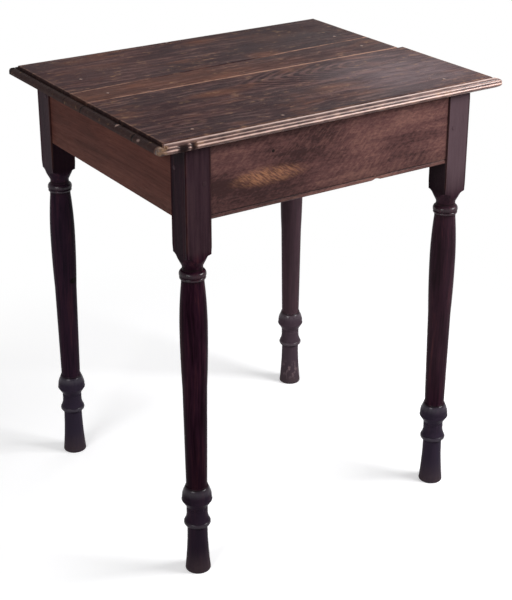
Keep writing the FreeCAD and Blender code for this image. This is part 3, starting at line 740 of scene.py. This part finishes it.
def moulding_drop(inward, edge, ease):
    """How far a moulded edge lies below the flat, at a distance in from the outer edge."""
    crown, floor, wall = crown_of(edge), groove_floor(edge), groove_wall(edge)
    arris = edge.nose + ease
    if inward >= arris:
        return 0.0
    if inward >= wall:
        fall = (arris - inward) / (arris - wall)
        return edge.quirk_depth * fall**5
    if inward >= floor:
        return edge.quirk_depth
    if inward >= crown:
        rise = (floor - inward) / (floor - crown)
        return edge.quirk_depth + (edge.bead_drop - edge.quirk_depth) * rise
    outward = 1.0 - max(0.0, inward) / crown
    return edge.bead_drop + (edge.nose_drop - edge.bead_drop) * (1.0 - math.sqrt(1.0 - outward**2))


def moulding_under(inward, edge_drop, relief, thickness):
    """How far the under side of a moulded edge lies below the flat."""
    rise = min(1.0, max(0.0, inward) / relief)
    return edge_drop + (thickness - edge_drop) * rise


def moulding_stops(edge, ease, relief, scribe=None):
    """Distances in from a moulded edge at which its section turns."""
    crown, floor = crown_of(edge), groove_floor(edge)
    stops = [crown * stop for stop in (0.0, 0.012, 0.045, 0.1, 0.18, 0.28, 0.4, 0.55, 0.72, 0.87, 1.0)]
    stops += [(crown + floor) / 2, floor, relief, edge.nose + ease * 1.6]
    stops += [groove_wall(edge) + ease * stop for stop in (0.0, 0.15, 0.35, 0.65, 1.1)]
    if scribe:
        stops += [scribe + settings().top.scribe_width * side for side in (-1.0, -0.5, 0.0, 0.5, 1.0)]
    return sorted(stops)


class Board:
    """One board of the top: its outline, which of its sides are moulded, and its section."""

    # Bits broken out of the front nose, near the left corner: place along, and half the length
    losses = ((-0.266, 0.009), (-0.25, 0.005))
    # The longest steps of the grid, and how far in the front still counts as its upright edge
    step_along, step_across = 0.003, 0.006
    upright = 0.002

    def __init__(self, node, right, front, back, front_edge, back_edge):
        self.node = node
        self.left = FRONT_BOARD[0].x
        self.right = right
        self.front = front
        self.back = back
        self.front_edge = front_edge
        self.back_edge = back_edge
        self.sizes = settings().top
        self.end_edge = settings().end_edge
        self.thickness = FLAT - FRONT_BOARD[0].z
        self.marked = []

    def side_stops(self, edge, relief, scribe=None):
        """Distances in from the front or the back at which the section turns."""
        if edge:
            return moulding_stops(edge, self.sizes.arris_ease, relief, scribe)
        return [self.sizes.seam_ease * stop for stop in (0.0, 0.25, 0.5, 0.75, 1.0, 1.6, 3.0)]

    def lines(self):
        """The grid lines of the board: places along it, and (share, offset) from front to back."""
        ends = moulding_stops(self.end_edge, self.sizes.arris_ease, self.end_edge.relief)
        stops = [*(self.left + d for d in ends), *(self.right - d for d in reversed(ends))]
        along = spaced(stops, self.step_along)
        front = self.side_stops(self.front_edge, settings().front_edge.relief, self.sizes.scribe)
        back = self.side_stops(self.back_edge, self.sizes.back_relief)
        across = [(0.0, d) for d in front]
        width = self.back(self.left) - self.front(self.left)
        count = math.ceil((width - front[-1] - back[-1]) / self.step_across)
        for step in range(1, count):
            t = step / count
            across.append((t, front[-1] * (1.0 - t) - back[-1] * t))
        return along, across + [(1.0, -d) for d in reversed(back)]

    def inward(self, x, y):
        """Distances in from the left, right, front and back."""
        return x - self.left, self.right - x, y - self.front(x), self.back(x) - y

    def loss(self, x, from_front):
        """How much of the front nose is broken away."""
        along = max(ridge(x, place, reach) for place, reach in self.losses)
        return min(1.0, 2.0 * along) * min(1.0, 1.6 * ridge(from_front, 0.0, 0.0065))

    def upper_drop(self, x, y):
        """How far the upper face lies below the flat."""
        from_left, from_right, from_front, from_back = self.inward(x, y)
        ease = self.sizes.arris_ease
        drop = moulding_drop(from_left, self.end_edge, ease)
        # The bead of the front runs out to the very end at the right
        if not self.front_edge or from_front > crown_of(self.front_edge):
            drop = max(drop, moulding_drop(from_right, self.end_edge, ease))
        for edge, inward in ((self.front_edge, from_front), (self.back_edge, from_back)):
            if edge:
                drop = max(drop, moulding_drop(inward, edge, ease))
            else:
                drop = max(drop, self.sizes.seam_drop * ridge(inward, 0.0, self.sizes.seam_ease) ** 2)
        if self.front_edge:
            line = ridge(from_front, self.sizes.scribe, self.sizes.scribe_width)
            drop += self.sizes.scribe_depth * line + self.sizes.loss_depth * self.loss(x, from_front)
        # A broad chip along the left end
        drop += self.sizes.chip_depth * ridge(y, -0.181, 0.016) * ridge(from_left, 0.002, 0.007)
        return drop + self.sizes.hollow * (0.5 + 0.5 * ripple(x, y, 0.0, 9.0))

    def under_drop(self, x, y):
        """How far the under face lies below the flat."""
        from_left, from_right, from_front, from_back = self.inward(x, y)
        end = self.end_edge
        drops = [
            moulding_under(inward, end.edge_drop, end.relief, self.thickness)
            for inward in (from_left, from_right)
        ]
        if self.front_edge:
            edge = self.front_edge
            drops.append(moulding_under(from_front, edge.edge_drop, edge.relief, self.thickness))
        if self.back_edge:
            relief = self.sizes.back_relief
            drops.append(moulding_under(from_back, self.back_edge.edge_drop, relief, self.thickness))
        return min(drops)

    def drops(self, x, y):
        """How far both faces lie below the flat, rounded over at the nose's right end."""
        upper, under = self.upper_drop(x, y), self.under_drop(x, y)
        _, from_right, from_front, _ = self.inward(x, y)
        if self.front_edge and from_front <= crown_of(self.front_edge):
            closing = 0.34 * (under - upper) * ridge(from_right, 0.0, 0.011) ** 2
            upper, under = upper + closing, under - closing
        return upper, under

    def undercut(self, x, y, drop):
        """How far the front's upright edge is worked in: a notch over a small lower bead."""
        edge = self.front_edge
        if not edge or self.inward(x, y)[2] > self.upright:
            return 0.0
        notch = self.sizes.notch_depth * ridge(drop, edge.nose_drop - 0.0005, 0.002)
        return notch + self.sizes.lip_depth * ridge(drop, edge.edge_drop, 0.002)

    def corner(self, x, y):
        """Draws the square corners in to rounds."""
        radius = self.sizes.corner_round
        from_left, from_right, from_front, from_back = self.inward(x, y)
        for end, toward in ((from_left, 1), (from_right, -1)):
            sides = ((from_front, 1, self.front_edge), (from_back, -1, self.back_edge))
            for side, forward, edge in sides:
                if not edge or end >= radius or side >= radius:
                    continue
                a, b = 1.0 - end / radius, 1.0 - side / radius
                x += toward * radius * a * (1.0 - math.sqrt(1.0 - b * b / 2))
                y += forward * radius * b * (1.0 - math.sqrt(1.0 - a * a / 2))
        return x, y

    def marks(self, x, y, drop):
        """Wear on the arrises and seams, dirt in the grooves and polish on the front nose, with painted
        highlight lines along the nose and painted shade in the seams and under the boards.
        """
        from_left, from_right, from_front, from_back = self.inward(x, y)
        ease = self.sizes.arris_ease
        wear, grime, polish = 0.0, 0.0, 0.0
        ends = ((from_left, self.end_edge), (from_right, self.end_edge), (from_back, self.back_edge))
        for inward, edge in ends:
            if edge:
                if drop < 0.0014:
                    wear = max(wear, 0.6 * ridge(inward, edge.nose + ease * 0.9, ease * 2.4))
                # The grooves of the end mouldings are painted dark, and their noses a little darker
                groove = edge.nose - edge.quirk_width * 0.4
                dirt = 0.72 + 0.25 * ripple(x, y, 0.0, 45.0)
                grime = max(grime, dirt * min(1.0, 1.6 * ridge(inward, groove, edge.quirk_width * 0.8)))
                if inward < crown_of(edge):
                    grime = max(grime, 0.3)
                    wear = max(wear, 0.3 * ridge(drop, edge.edge_drop, 0.002))
        if self.front_edge:
            edge = self.front_edge
            crown = crown_of(edge)
            wear = max(wear, 0.5 * ridge(from_front, edge.nose + ease * 0.4, ease * 1.2))
            if crown < from_front < edge.nose:
                wear, grime = 0.45, 0.1
            elif from_front <= crown:
                grime = 0.3 * ridge(from_front, self.sizes.scribe, 0.0014)
                wear = 0.3
                # Pale lines along the nose, where its highlights fall: partly wear, partly painted
                # highlight
                for strength, value, line, reach in (
                    (0.95, from_front, crown * 0.8, 0.0034),
                    (0.75, from_front, 0.0022, 0.0014),
                    (0.95, drop, edge.nose_drop + 0.0008, 0.0018),
                    (0.4, drop, edge.edge_drop - 0.001, 0.0024),
                ):
                    wear = max(wear, strength * ridge(value, line, reach))
                if from_front < self.upright:
                    grime = max(grime, 0.3 * ridge(drop, edge.nose_drop - 0.0006, 0.0008))
                # Dirt fills the losses, and the lines die away at the left end
                loss = self.loss(x, from_front)
                polish, grime = 1.0 - loss, max(grime, 0.85 * loss)
                wear *= min(1.0, 0.3 + from_left / 0.03) * (1.0 - loss)
        else:
            # The front arrises at the seams are worn pale, on the back board only towards its ends
            along = (x - self.left) / (self.right - self.left)
            strength = 0.65 + 0.35 * along
            if self.back_edge:
                strength = 0.7 * min(1.0, max(0.0, abs(along - 0.42) / 0.12 - 1.0))
            if drop < 0.003:
                wear = max(wear, strength * ridge(from_front, 0.0008, 0.0036))
            else:
                # Down the seam's side the edge is painted dark as shade in the gap
                grime = max(grime, 0.8 * ridge(from_front, 0.0, 0.0024))
        # The front board's back edge is painted dark as shade in the seam
        if self.front_edge and drop < 0.006:
            grime = max(grime, 0.6 * ridge(from_back, 0.0, 0.0012))
        # The underside of the board is painted dark as shade, without wear or polish
        if drop > self.thickness - 0.002:
            wear, polish = 0.0, 0.0
            grime = max(grime, 0.4)
        return {"wear": wear, "grime": grime, "polish": polish}

    def build(self):
        """The board as a mesh: a grid drawn down to a thickness and worked to its section."""
        along, across = self.lines()
        columns, rows = len(along) - 1, len(across) - 1
        bm = bmesh.new()
        bmesh.ops.create_grid(bm, x_segments=columns, y_segments=rows, size=0.5)
        draw_out(bm, bm.faces[:], (0, 0, -1))
        walls = [edge for edge in bm.edges if abs(edge.verts[0].co.z - edge.verts[1].co.z) > 0.5]
        bmesh.ops.subdivide_edges(bm, edges=walls, cuts=5, use_grid_fill=True)
        for vert in bm.verts:
            x = along[round((vert.co.x + 0.5) * columns)]
            portion, offset = across[round((vert.co.y + 0.5) * rows)]
            y = self.front(x) + (self.back(x) - self.front(x)) * portion + offset
            upper, under = self.drops(x, y)
            drop = upper - (under - upper) * vert.co.z
            self.marked.append(self.marks(x, y, drop))
            vert.co = (*self.corner(x, y + self.undercut(x, y, drop)), FLAT - drop)
        bmesh.ops.recalc_face_normals(bm, faces=bm.faces)
        return bm


class TAVERN_OT_boards(bpy.types.Operator):
    """Make the three boards of the top"""

    bl_idname = "tavern.boards"
    bl_label = "Top boards"

    def execute(self, context):
        short_right = BACK_BOARD[1].x
        gap = MIDDLE_STRIP[0].y - FRONT_BOARD[1].y
        slope = (MIDDLE_STRIP[1].y + gap - BACK_BOARD[0].y) / (short_right - FRONT_BOARD[0].x)

        def back_seam(x):
            return BACK_BOARD[0].y + (x - FRONT_BOARD[0].x) * slope

        broad, strip = top_finish("top_oak", 0.0), top_finish("strip_oak", 0.7)
        front = Board(
            "top_front_board", FRONT_BOARD[1].x, lambda x: FRONT_BOARD[0].y, lambda x: FRONT_BOARD[1].y,
            settings().front_edge, None,
        )
        middle = Board(
            "top_middle_strip", short_right, lambda x: MIDDLE_STRIP[0].y, lambda x: back_seam(x) - gap,
            None, None,
        )
        back = Board(
            "top_back_board", short_right, back_seam, lambda x: BACK_BOARD[1].y,
            None, settings().end_edge,
        )
        for board, finish in ((front, broad), (middle, strip), (back, broad)):

            def marks(vert, marked=board.marked):
                return marked[vert.index]

            place_piece(board.build(), board.node, finish, marks)
        return {"FINISHED"}


# Legs


def leg_profile(s):
    """Half the section of a turned leg, as (radius, height) from the sole up to the block's top."""
    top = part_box("leg_front_left")[1].z
    corner = s.block / math.sqrt(2)
    nick = s.scribe
    points = [Vector((0.0, 0.0))]
    points += bow((s.sole_radius - 0.0016, 0.0), (s.sole_radius, 0.0016), 0.2, 3)
    points += bow((s.sole_radius, 0.0016), (s.foot_radius, s.low_ring_foot - 0.003), -0.012, 16)
    # The lower ring: a thin fillet, a bead and a scribed line over it
    fillet = s.foot_radius + 2 * nick
    points += [
        Vector((s.foot_radius, s.low_ring_foot - 0.003)),
        Vector((fillet, s.low_ring_foot - 0.0026)),
        Vector((fillet, s.low_ring_foot - 0.0012)),
        Vector((s.foot_radius + nick, s.low_ring_foot - 0.0008)),
    ]
    middle = (s.foot_radius + 0.0008, s.low_ring_height - 0.001)
    points += bead(middle, (s.low_ring_radius - middle[0], 0.0046), (-85, -60, -40, -20, 0, 15, 30, 45))
    flare = s.low_ring_radius - 3 * nick
    points += [Vector((flare - nick, s.low_ring_height + 0.0026))]
    points += bow((flare, s.low_ring_height + 0.0032), (s.spool_radius, s.spool_bottom), -0.06, 6)
    # The spool, with two scribed lines near its top
    for level in (0.0, 0.55, 0.8):
        height = s.spool_bottom + (s.spool_top - s.spool_bottom) * level
        points.append(Vector((s.spool_radius, height)))
        if level:
            points.append(Vector((s.spool_radius - nick, height + nick)))
            points.append(Vector((s.spool_radius, height + 2 * nick)))
    lip = s.bell_radius - 0.0008
    points += bow((s.spool_radius, s.spool_top), (lip, s.bell_height - 0.0016), 0.0, 4)
    points += bow((lip, s.bell_height - 0.0016), (lip, s.bell_height + 0.0016), 0.2, 5)
    collar = s.shaft_foot_radius + 3 * nick
    points += bow((lip, s.bell_height + 0.0016), (collar, s.bell_top - 0.0014), 0.08, 9)
    # A thin collar between the bell and the shaft
    points += [
        Vector((collar, s.bell_top - 0.0014)),
        Vector((collar - 2 * nick, s.bell_top - 0.0008)),
        Vector((collar, s.bell_top - 0.0002)),
        Vector((collar - nick, s.bell_top + 0.0012)),
    ]
    points += bow((s.shaft_foot_radius, s.bell_top + 0.0018), (s.waist_radius, s.waist_height), 0.0, 30)
    points += bow((s.waist_radius, s.waist_height), (s.belly_radius, s.belly_height), 0.006, 16)
    points += bow((s.belly_radius, s.belly_height), (s.shaft_top_radius, s.ring_foot), 0.013, 16)
    # The upper ring: a small bead, a notch and a larger bead
    middle = (s.shaft_top_radius, s.ring_foot + 0.0033)
    reach = (s.ring_radius - middle[0] - 0.0008, 0.0026)
    points += bead(middle, reach, (-80, -50, -25, 0, 25, 45, 60))
    middle = (s.neck_radius, s.ring_height + 0.0018)
    reach = (s.ring_radius - middle[0] - 0.0002, 0.006)
    points += bead(middle, reach, (-20, 0, 15, 30, 45, 60, 75, 88))
    points += bow((s.neck_radius, s.neck_bottom), (s.neck_radius, s.neck_top), 0.0, 2)
    points += bow((s.neck_radius, s.neck_top), (s.shoulder_radius, s.shoulder_height), 0.0, 10)
    points += bow((s.shoulder_radius, s.shoulder_height), (corner, s.block_bottom), -0.16, 10)
    points += bow((corner, s.block_bottom), (corner, top), 0.0, 14)
    return [*points, Vector((corner, top)), Vector((0.0, top))]


class TAVERN_OT_legs(bpy.types.Operator):
    """Turn the four legs and plane their blocks square"""

    bl_idname = "tavern.legs"
    bl_label = "Turned legs"

    def execute(self, context):
        s = settings().legs
        finish = leg_finish()
        half = s.block / 2
        for node in ("leg_front_left", "leg_front_right", "leg_back_left", "leg_back_right"):
            axis = leg_axis(node)
            bm = lathe(leg_profile(s), 64)
            # The flats of the block, planed off the turned blank
            for vert in bm.verts:
                if vert.co.z > s.neck_top:
                    vert.co.x = max(-half, min(half, vert.co.x))
                    vert.co.y = max(-half, min(half, vert.co.y))
            arrises = [
                edge
                for edge in bm.edges
                if all(min(abs(v.co.x), abs(v.co.y)) > half - 1e-5 for v in edge.verts)
            ]
            ease_edges(bm, arrises, s.block_ease)
            bmesh.ops.translate(bm, verts=bm.verts, vec=axis)

            def marks(vert, axis=axis):
                out, rise = (vert.co - axis).to_2d(), vert.co.z
                wear, grime, polish = 0.0, 0.0, 0.0
                if rise > s.block_bottom:
                    wear = 0.5 * (1.0 - (2 * half - abs(out.x) - abs(out.y)) / 0.007)
                # Hands and cloths have polished the crests of the rings and the bell's shoulder
                for level, reach in (
                    (s.ring_height + 0.0035, 0.0045),
                    (s.ring_foot + 0.0035, 0.0025),
                    (s.bell_top - 0.006, 0.0075),
                    (s.low_ring_height, 0.0036),
                ):
                    polish = max(polish, ridge(rise, level, reach))
                for level in (s.neck_bottom, s.bell_top - 0.0008, s.low_ring_foot, s.ring_foot):
                    grime = max(grime, 0.7 * ridge(rise, level, 0.0016))
                return {"wear": wear, "grime": grime, "polish": polish}

            place_piece(bm, node, finish, marks, sharp=42.0)
        return {"FINISHED"}


# Rails


class TAVERN_OT_rails(bpy.types.Operator):
    """Make the four rails, with the bead under the front one"""

    bl_idname = "tavern.rails"
    bl_label = "Rails"

    def section(self, low, high, across, beaded):
        """The rail's section as (out, up) corners, its face first."""
        s = settings().rails
        face, back = (low[across], high[across])
        if not beaded:
            return [(face, low.z), (face, high.z), (back, high.z), (back, low.z)]
        bead_top = low.z + s.bead
        steps = [math.radians(angle) for angle in (0, 30, 60, 90)]
        lower = [
            (face + s.bead_round * (1 - math.cos(a)), low.z + s.bead_round * (1 - math.sin(a)))
            for a in steps
        ]
        return [
            *lower[::-1],
            (face, bead_top - s.bead_ease),
            (face + s.bead_ease / 3, bead_top),
            (face + s.bead_depth, bead_top + s.bead_quirk / 2),
            (face, bead_top + s.bead_quirk),
            *((face, low.z + (high.z - low.z) * t) for t in (0.3, 0.5, 0.7, 0.85, 1.0)),
            (back, high.z),
            (back, low.z),
        ]

    def shape(self, node, along):
        """The mesh of a rail and its tenons."""
        s = settings().rails
        low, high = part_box(node)
        beaded = node == "rail_front"
        across = 1 - along
        start, end = low[along] + s.tenon, high[along] - s.tenon
        bm = bmesh.new()
        verts = []
        for out, up in self.section(low, high, across, beaded):
            place = Vector((0.0, 0.0, up))
            place[along] = start
            place[across] = out
            verts.append(bm.verts.new(place))
        run = Vector((0.0, 0.0, 0.0))
        run[along] = end - start
        draw_out(bm, [bm.faces.new(verts)], run)
        bmesh.ops.recalc_face_normals(bm, faces=bm.faces)

        def long_edges():
            return [edge for edge in bm.edges if edge.calc_length() > run.length * 0.9]

        if not beaded:
            ease_edges(bm, long_edges(), s.ease)
        bmesh.ops.subdivide_edges(bm, edges=long_edges(), cuts=140, use_grid_fill=True)
        if beaded:
            for vert in bm.verts:
                rise = (vert.co.z - low.z) / (high.z - low.z)
                # Shrinkage has drawn the upper shoulders away from the legs
                for edge, toward in ((start, 1), (end, -1)):
                    if abs(vert.co[along] - edge) < 1e-5:
                        vert.co[along] += toward * s.shoulder_gap * max(0.05, rise * 1.6 - 0.6)
                # A chip out of the bead
                if vert.co.z < low.z + s.bead and vert.co[across] < low[across] + s.bead / 2:
                    vert.co.z += s.chip_height * ridge(vert.co.x, s.chip_place, s.chip_reach)
        # The tenons, with their roots inside the rail
        for edge, tip in ((start, low[along]), (end, high[along])):
            middle, extent = (low + high) / 2, high - low
            inner = edge + math.copysign(s.tenon_root, edge - tip)
            middle[along], extent[along] = (inner + tip) / 2, abs(inner - tip)
            extent[across] -= 2 * s.cheek
            middle.z += (s.tenon_low - s.tenon_high) / 2
            extent.z -= s.tenon_low + s.tenon_high
            bmesh.ops.create_cube(
                bm, size=1.0, matrix=Matrix.Translation(middle) @ Matrix.Diagonal((*extent, 1.0))
            )
        bmesh.ops.recalc_face_normals(bm, faces=bm.faces)
        return bm

    def execute(self, context):
        s = settings().rails
        front, long_side, side = front_rail_finish(), side_rail_finish("x"), side_rail_finish("y")
        for node, along, finish in (
            ("rail_front", 0, front),
            ("rail_back", 0, long_side),
            ("rail_left", 1, side),
            ("rail_right", 1, side),
        ):
            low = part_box(node)[0]

            def marks(vert, foot=low.z, beaded=node == "rail_front"):
                rise = vert.co.z - foot
                wear, grime = 0.5 * ridge(rise, 0.0, 0.0022), 0.0
                if beaded:
                    wear = 0.6 * ridge(rise, s.bead * 0.55, s.bead * 0.5)
                    grime = 0.9 * ridge(rise, s.bead + s.bead_quirk / 2, s.bead_quirk * 0.7)
                return {"wear": wear, "grime": grime}

            place_piece(self.shape(node, along), node, finish, marks)
        return {"FINISHED"}


# Pegs and pins


def riven_pin(node, finish, sides):
    """A pin whittled to a few facets, with an eased head and a point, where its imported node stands."""
    low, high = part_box(node)
    extent = high - low
    along = max(range(3), key=lambda axis: extent[axis])
    radius = min(extent) / 2
    middle = (low + high) / 2
    whole = extent[along]
    head = radius * 0.22
    outline = [
        (0.0, 0.0), (radius * 0.7, 0.0), (radius * 0.98, whole * 0.08), (radius * 0.98, whole - head),
        (radius * 0.9, whole - head * 0.35), (radius * 0.6, whole - head * 0.1), (0.0, whole),
    ]
    bm = lathe(outline, sides)
    for vert in bm.verts:
        swell = ripple(vert.co.x + middle.x, vert.co.y + middle.y, 0.3, 260.0)
        uneven = 1.0 - 0.06 * (0.5 + 0.5 * swell)
        vert.co.x *= uneven
        vert.co.y *= uneven
    # The head faces away from the middle of the table, or up
    outward = 1.0 if along == 2 else math.copysign(1.0, middle[along])
    facing = Vector((0.0, 0.0, 0.0))
    facing[along] = outward
    turn = Vector((0, 0, 1)).rotation_difference(facing).to_matrix().to_4x4()
    foot = middle.copy()
    foot[along] -= outward * whole / 2
    bmesh.ops.transform(bm, matrix=Matrix.Translation(foot) @ turn, verts=bm.verts)
    tip = foot[along] + outward * whole

    def marks(vert):
        out = vert.co - middle
        out[along] = 0.0
        rim = out.length / radius
        at_head = abs(vert.co[along] - tip) < head * 1.5
        upright = along == 2
        # The heads of the upright pins are painted pale: partly worn end grain, partly painted highlight
        wear = min(1.0, 2.2 * (1.0 - rim)) if upright and at_head else 0.0
        dirt = 0.3 if upright else 0.1
        return {"wear": wear, "grime": dirt if rim > 0.85 else 0.0}

    place_piece(bm, node, finish, marks, sharp=50.0)


class TAVERN_OT_pegs(bpy.types.Operator):
    """Make the pegs of the joints and the pins that hold the boards down"""

    bl_idname = "tavern.pegs"
    bl_label = "Pegs and pins"

    def execute(self, context):
        finish = peg_finish()
        for node in sorted(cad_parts):
            if node.startswith("peg_"):
                riven_pin(node, finish, sides=10)
            elif node.startswith("pin_"):
                riven_pin(node, finish, sides=9)
        return {"FINISHED"}


# Stage


def seen_rays(tree):
    """1 where the camera, or a reflection or glass, looks straight at a surface."""
    paths = Mark(tree).make("ShaderNodeLightPath").socket.node.outputs
    seen = Mark(tree, paths["Is Camera Ray"])
    for name in ("Is Glossy Ray", "Is Transmission Ray"):
        seen = seen.larger(Mark(tree, paths[name]))
    return seen


def white_floor():
    """A white floor that keeps the shadows round the table and is pure white further off."""
    material, place = new_material("white_floor")
    far = place.span().between(0.42, 0.95)
    matt = place.make("ShaderNodeBsdfDiffuse", {}, {"Color": (0.86, 0.86, 0.87, 1.0)})
    glow = place.make("ShaderNodeEmission", {}, {"Color": (1, 1, 1, 1), "Strength": 0.37})
    white = place.make("ShaderNodeEmission", {}, {"Color": (1, 1, 1, 1), "Strength": 1.0})
    bright = place.make("ShaderNodeAddShader", {}, {0: matt, 1: glow})
    spread = place.make("ShaderNodeMixShader", {}, {0: far, 1: bright, 2: white})
    seen = seen_rays(material.node_tree)
    shown = place.make("ShaderNodeMixShader", {}, {0: seen, 1: matt, 2: spread})
    place.make("ShaderNodeOutputMaterial", {}, {"Surface": shown})
    return material


def soft_box(name, place, target, width, height, power):
    """An oblong studio lamp that faces a target."""
    lamp = bpy.data.lights.new(name, "AREA")
    lamp.shape = "RECTANGLE"
    lamp.size = width
    lamp.size_y = height
    lamp.energy = power
    holder = new_object(name, lamp)
    holder.location = place
    holder.rotation_euler = (Vector(target) - Vector(place)).to_track_quat("-Z", "Y").to_euler()


class TAVERN_OT_stage(bpy.types.Operator):
    """Set up the floor, the lamps and the camera"""

    bl_idname = "tavern.stage"
    bl_label = "Stage"

    def execute(self, context):
        scene = context.scene
        scene.view_settings.view_transform = "Standard"

        bm = bmesh.new()
        bmesh.ops.create_grid(bm, x_segments=8, y_segments=8, size=14.0)
        mesh = bpy.data.meshes.new("floor")
        bm.to_mesh(mesh)
        bm.free()
        mesh.materials.append(white_floor())
        new_object("floor", mesh)

        world = bpy.data.worlds.new("studio")
        world.use_nodes = True
        world.node_tree.nodes.clear()
        start = Mark(world.node_tree)
        strength = 0.25 + seen_rays(world.node_tree) * 0.75
        sky = start.make("ShaderNodeBackground", {}, {"Color": (1, 1, 1, 1), "Strength": strength})
        start.make("ShaderNodeOutputWorld", {}, {"Surface": sky})
        scene.world = world

        soft_box("left_lamp", (-2.1, -0.9, 1.7), (-0.1, 0, 0.45), width=1.1, height=0.6, power=24.0)
        soft_box("right_lamp", (1.1, -1.0, 1.35), (0.1, -0.1, 0.45), width=0.85, height=0.5, power=32.0)
        soft_box("back_lamp", (2.0, 1.7, 1.5), (0, 0, 0.65), width=1.1, height=1.1, power=6.0)

        lens = bpy.data.cameras.new("camera")
        lens.sensor_width = 36.0
        lens.lens = 83.455
        lens.shift_y = -0.085
        camera = new_object("camera", lens)
        camera.location = (-1.1455, -1.7536, 1.2902)
        camera.rotation_euler = (math.radians(67.1), 0.0, math.radians(-33.32))
        scene.camera = camera
        return {"FINISHED"}


# Panel


class TavernTable(bpy.types.PropertyGroup):
    """Everything about the table that can be changed."""

    top: PointerProperty(type=TopSizes, name="Top", description="Sizes of the boards")
    front_edge: PointerProperty(type=FrontEdgeSizes, name="Front edge", description="Bead of the front")
    end_edge: PointerProperty(type=EndEdgeSizes, name="End edge", description="Moulding of the ends")
    legs: PointerProperty(type=LegSizes, name="Legs", description="Sizes of the turned legs")
    rails: PointerProperty(type=RailSizes, name="Rails", description="Sizes of the rails")
    finishes: PointerProperty(type=Finishes, name="Finishes", description="Colours of the oak")


class TAVERN_PT_panel(bpy.types.Panel):
    """Lists the steps of building the table and its sizes"""

    bl_idname = "TAVERN_PT_panel"
    bl_label = "Tavern Table"
    bl_space_type = "VIEW_3D"
    bl_region_type = "UI"
    bl_category = "Tavern Table"

    def draw(self, context):
        column = self.layout.column(align=True)
        for step in STEPS:
            column.operator(step.bl_idname)
        for part in TavernTable.__annotations__:
            box = self.layout.box()
            group = getattr(settings(), part)
            box.label(text=part.replace("_", " ").capitalize())
            for name in type(group).__annotations__:
                box.prop(group, name)


STEPS = (TAVERN_OT_boards, TAVERN_OT_rails, TAVERN_OT_legs, TAVERN_OT_pegs, TAVERN_OT_stage)
GROUPS = (FrontEdgeSizes, EndEdgeSizes, TopSizes, LegSizes, RailSizes, Finishes, TavernTable)
CLASSES = (*GROUPS, *STEPS, TAVERN_PT_panel)


def register():
    for cls in CLASSES:
        bpy.utils.register_class(cls)
    bpy.types.Scene.tavern_table = PointerProperty(type=TavernTable)


def unregister():
    del bpy.types.Scene.tavern_table
    for cls in reversed(CLASSES):
        bpy.utils.unregister_class(cls)


def main():
    """Builds the table."""
    register()
    bpy.ops.tavern.boards()
    bpy.ops.tavern.rails()
    bpy.ops.tavern.legs()
    bpy.ops.tavern.pegs()
    bpy.ops.tavern.stage()


if __name__ == "__main__":
    main()
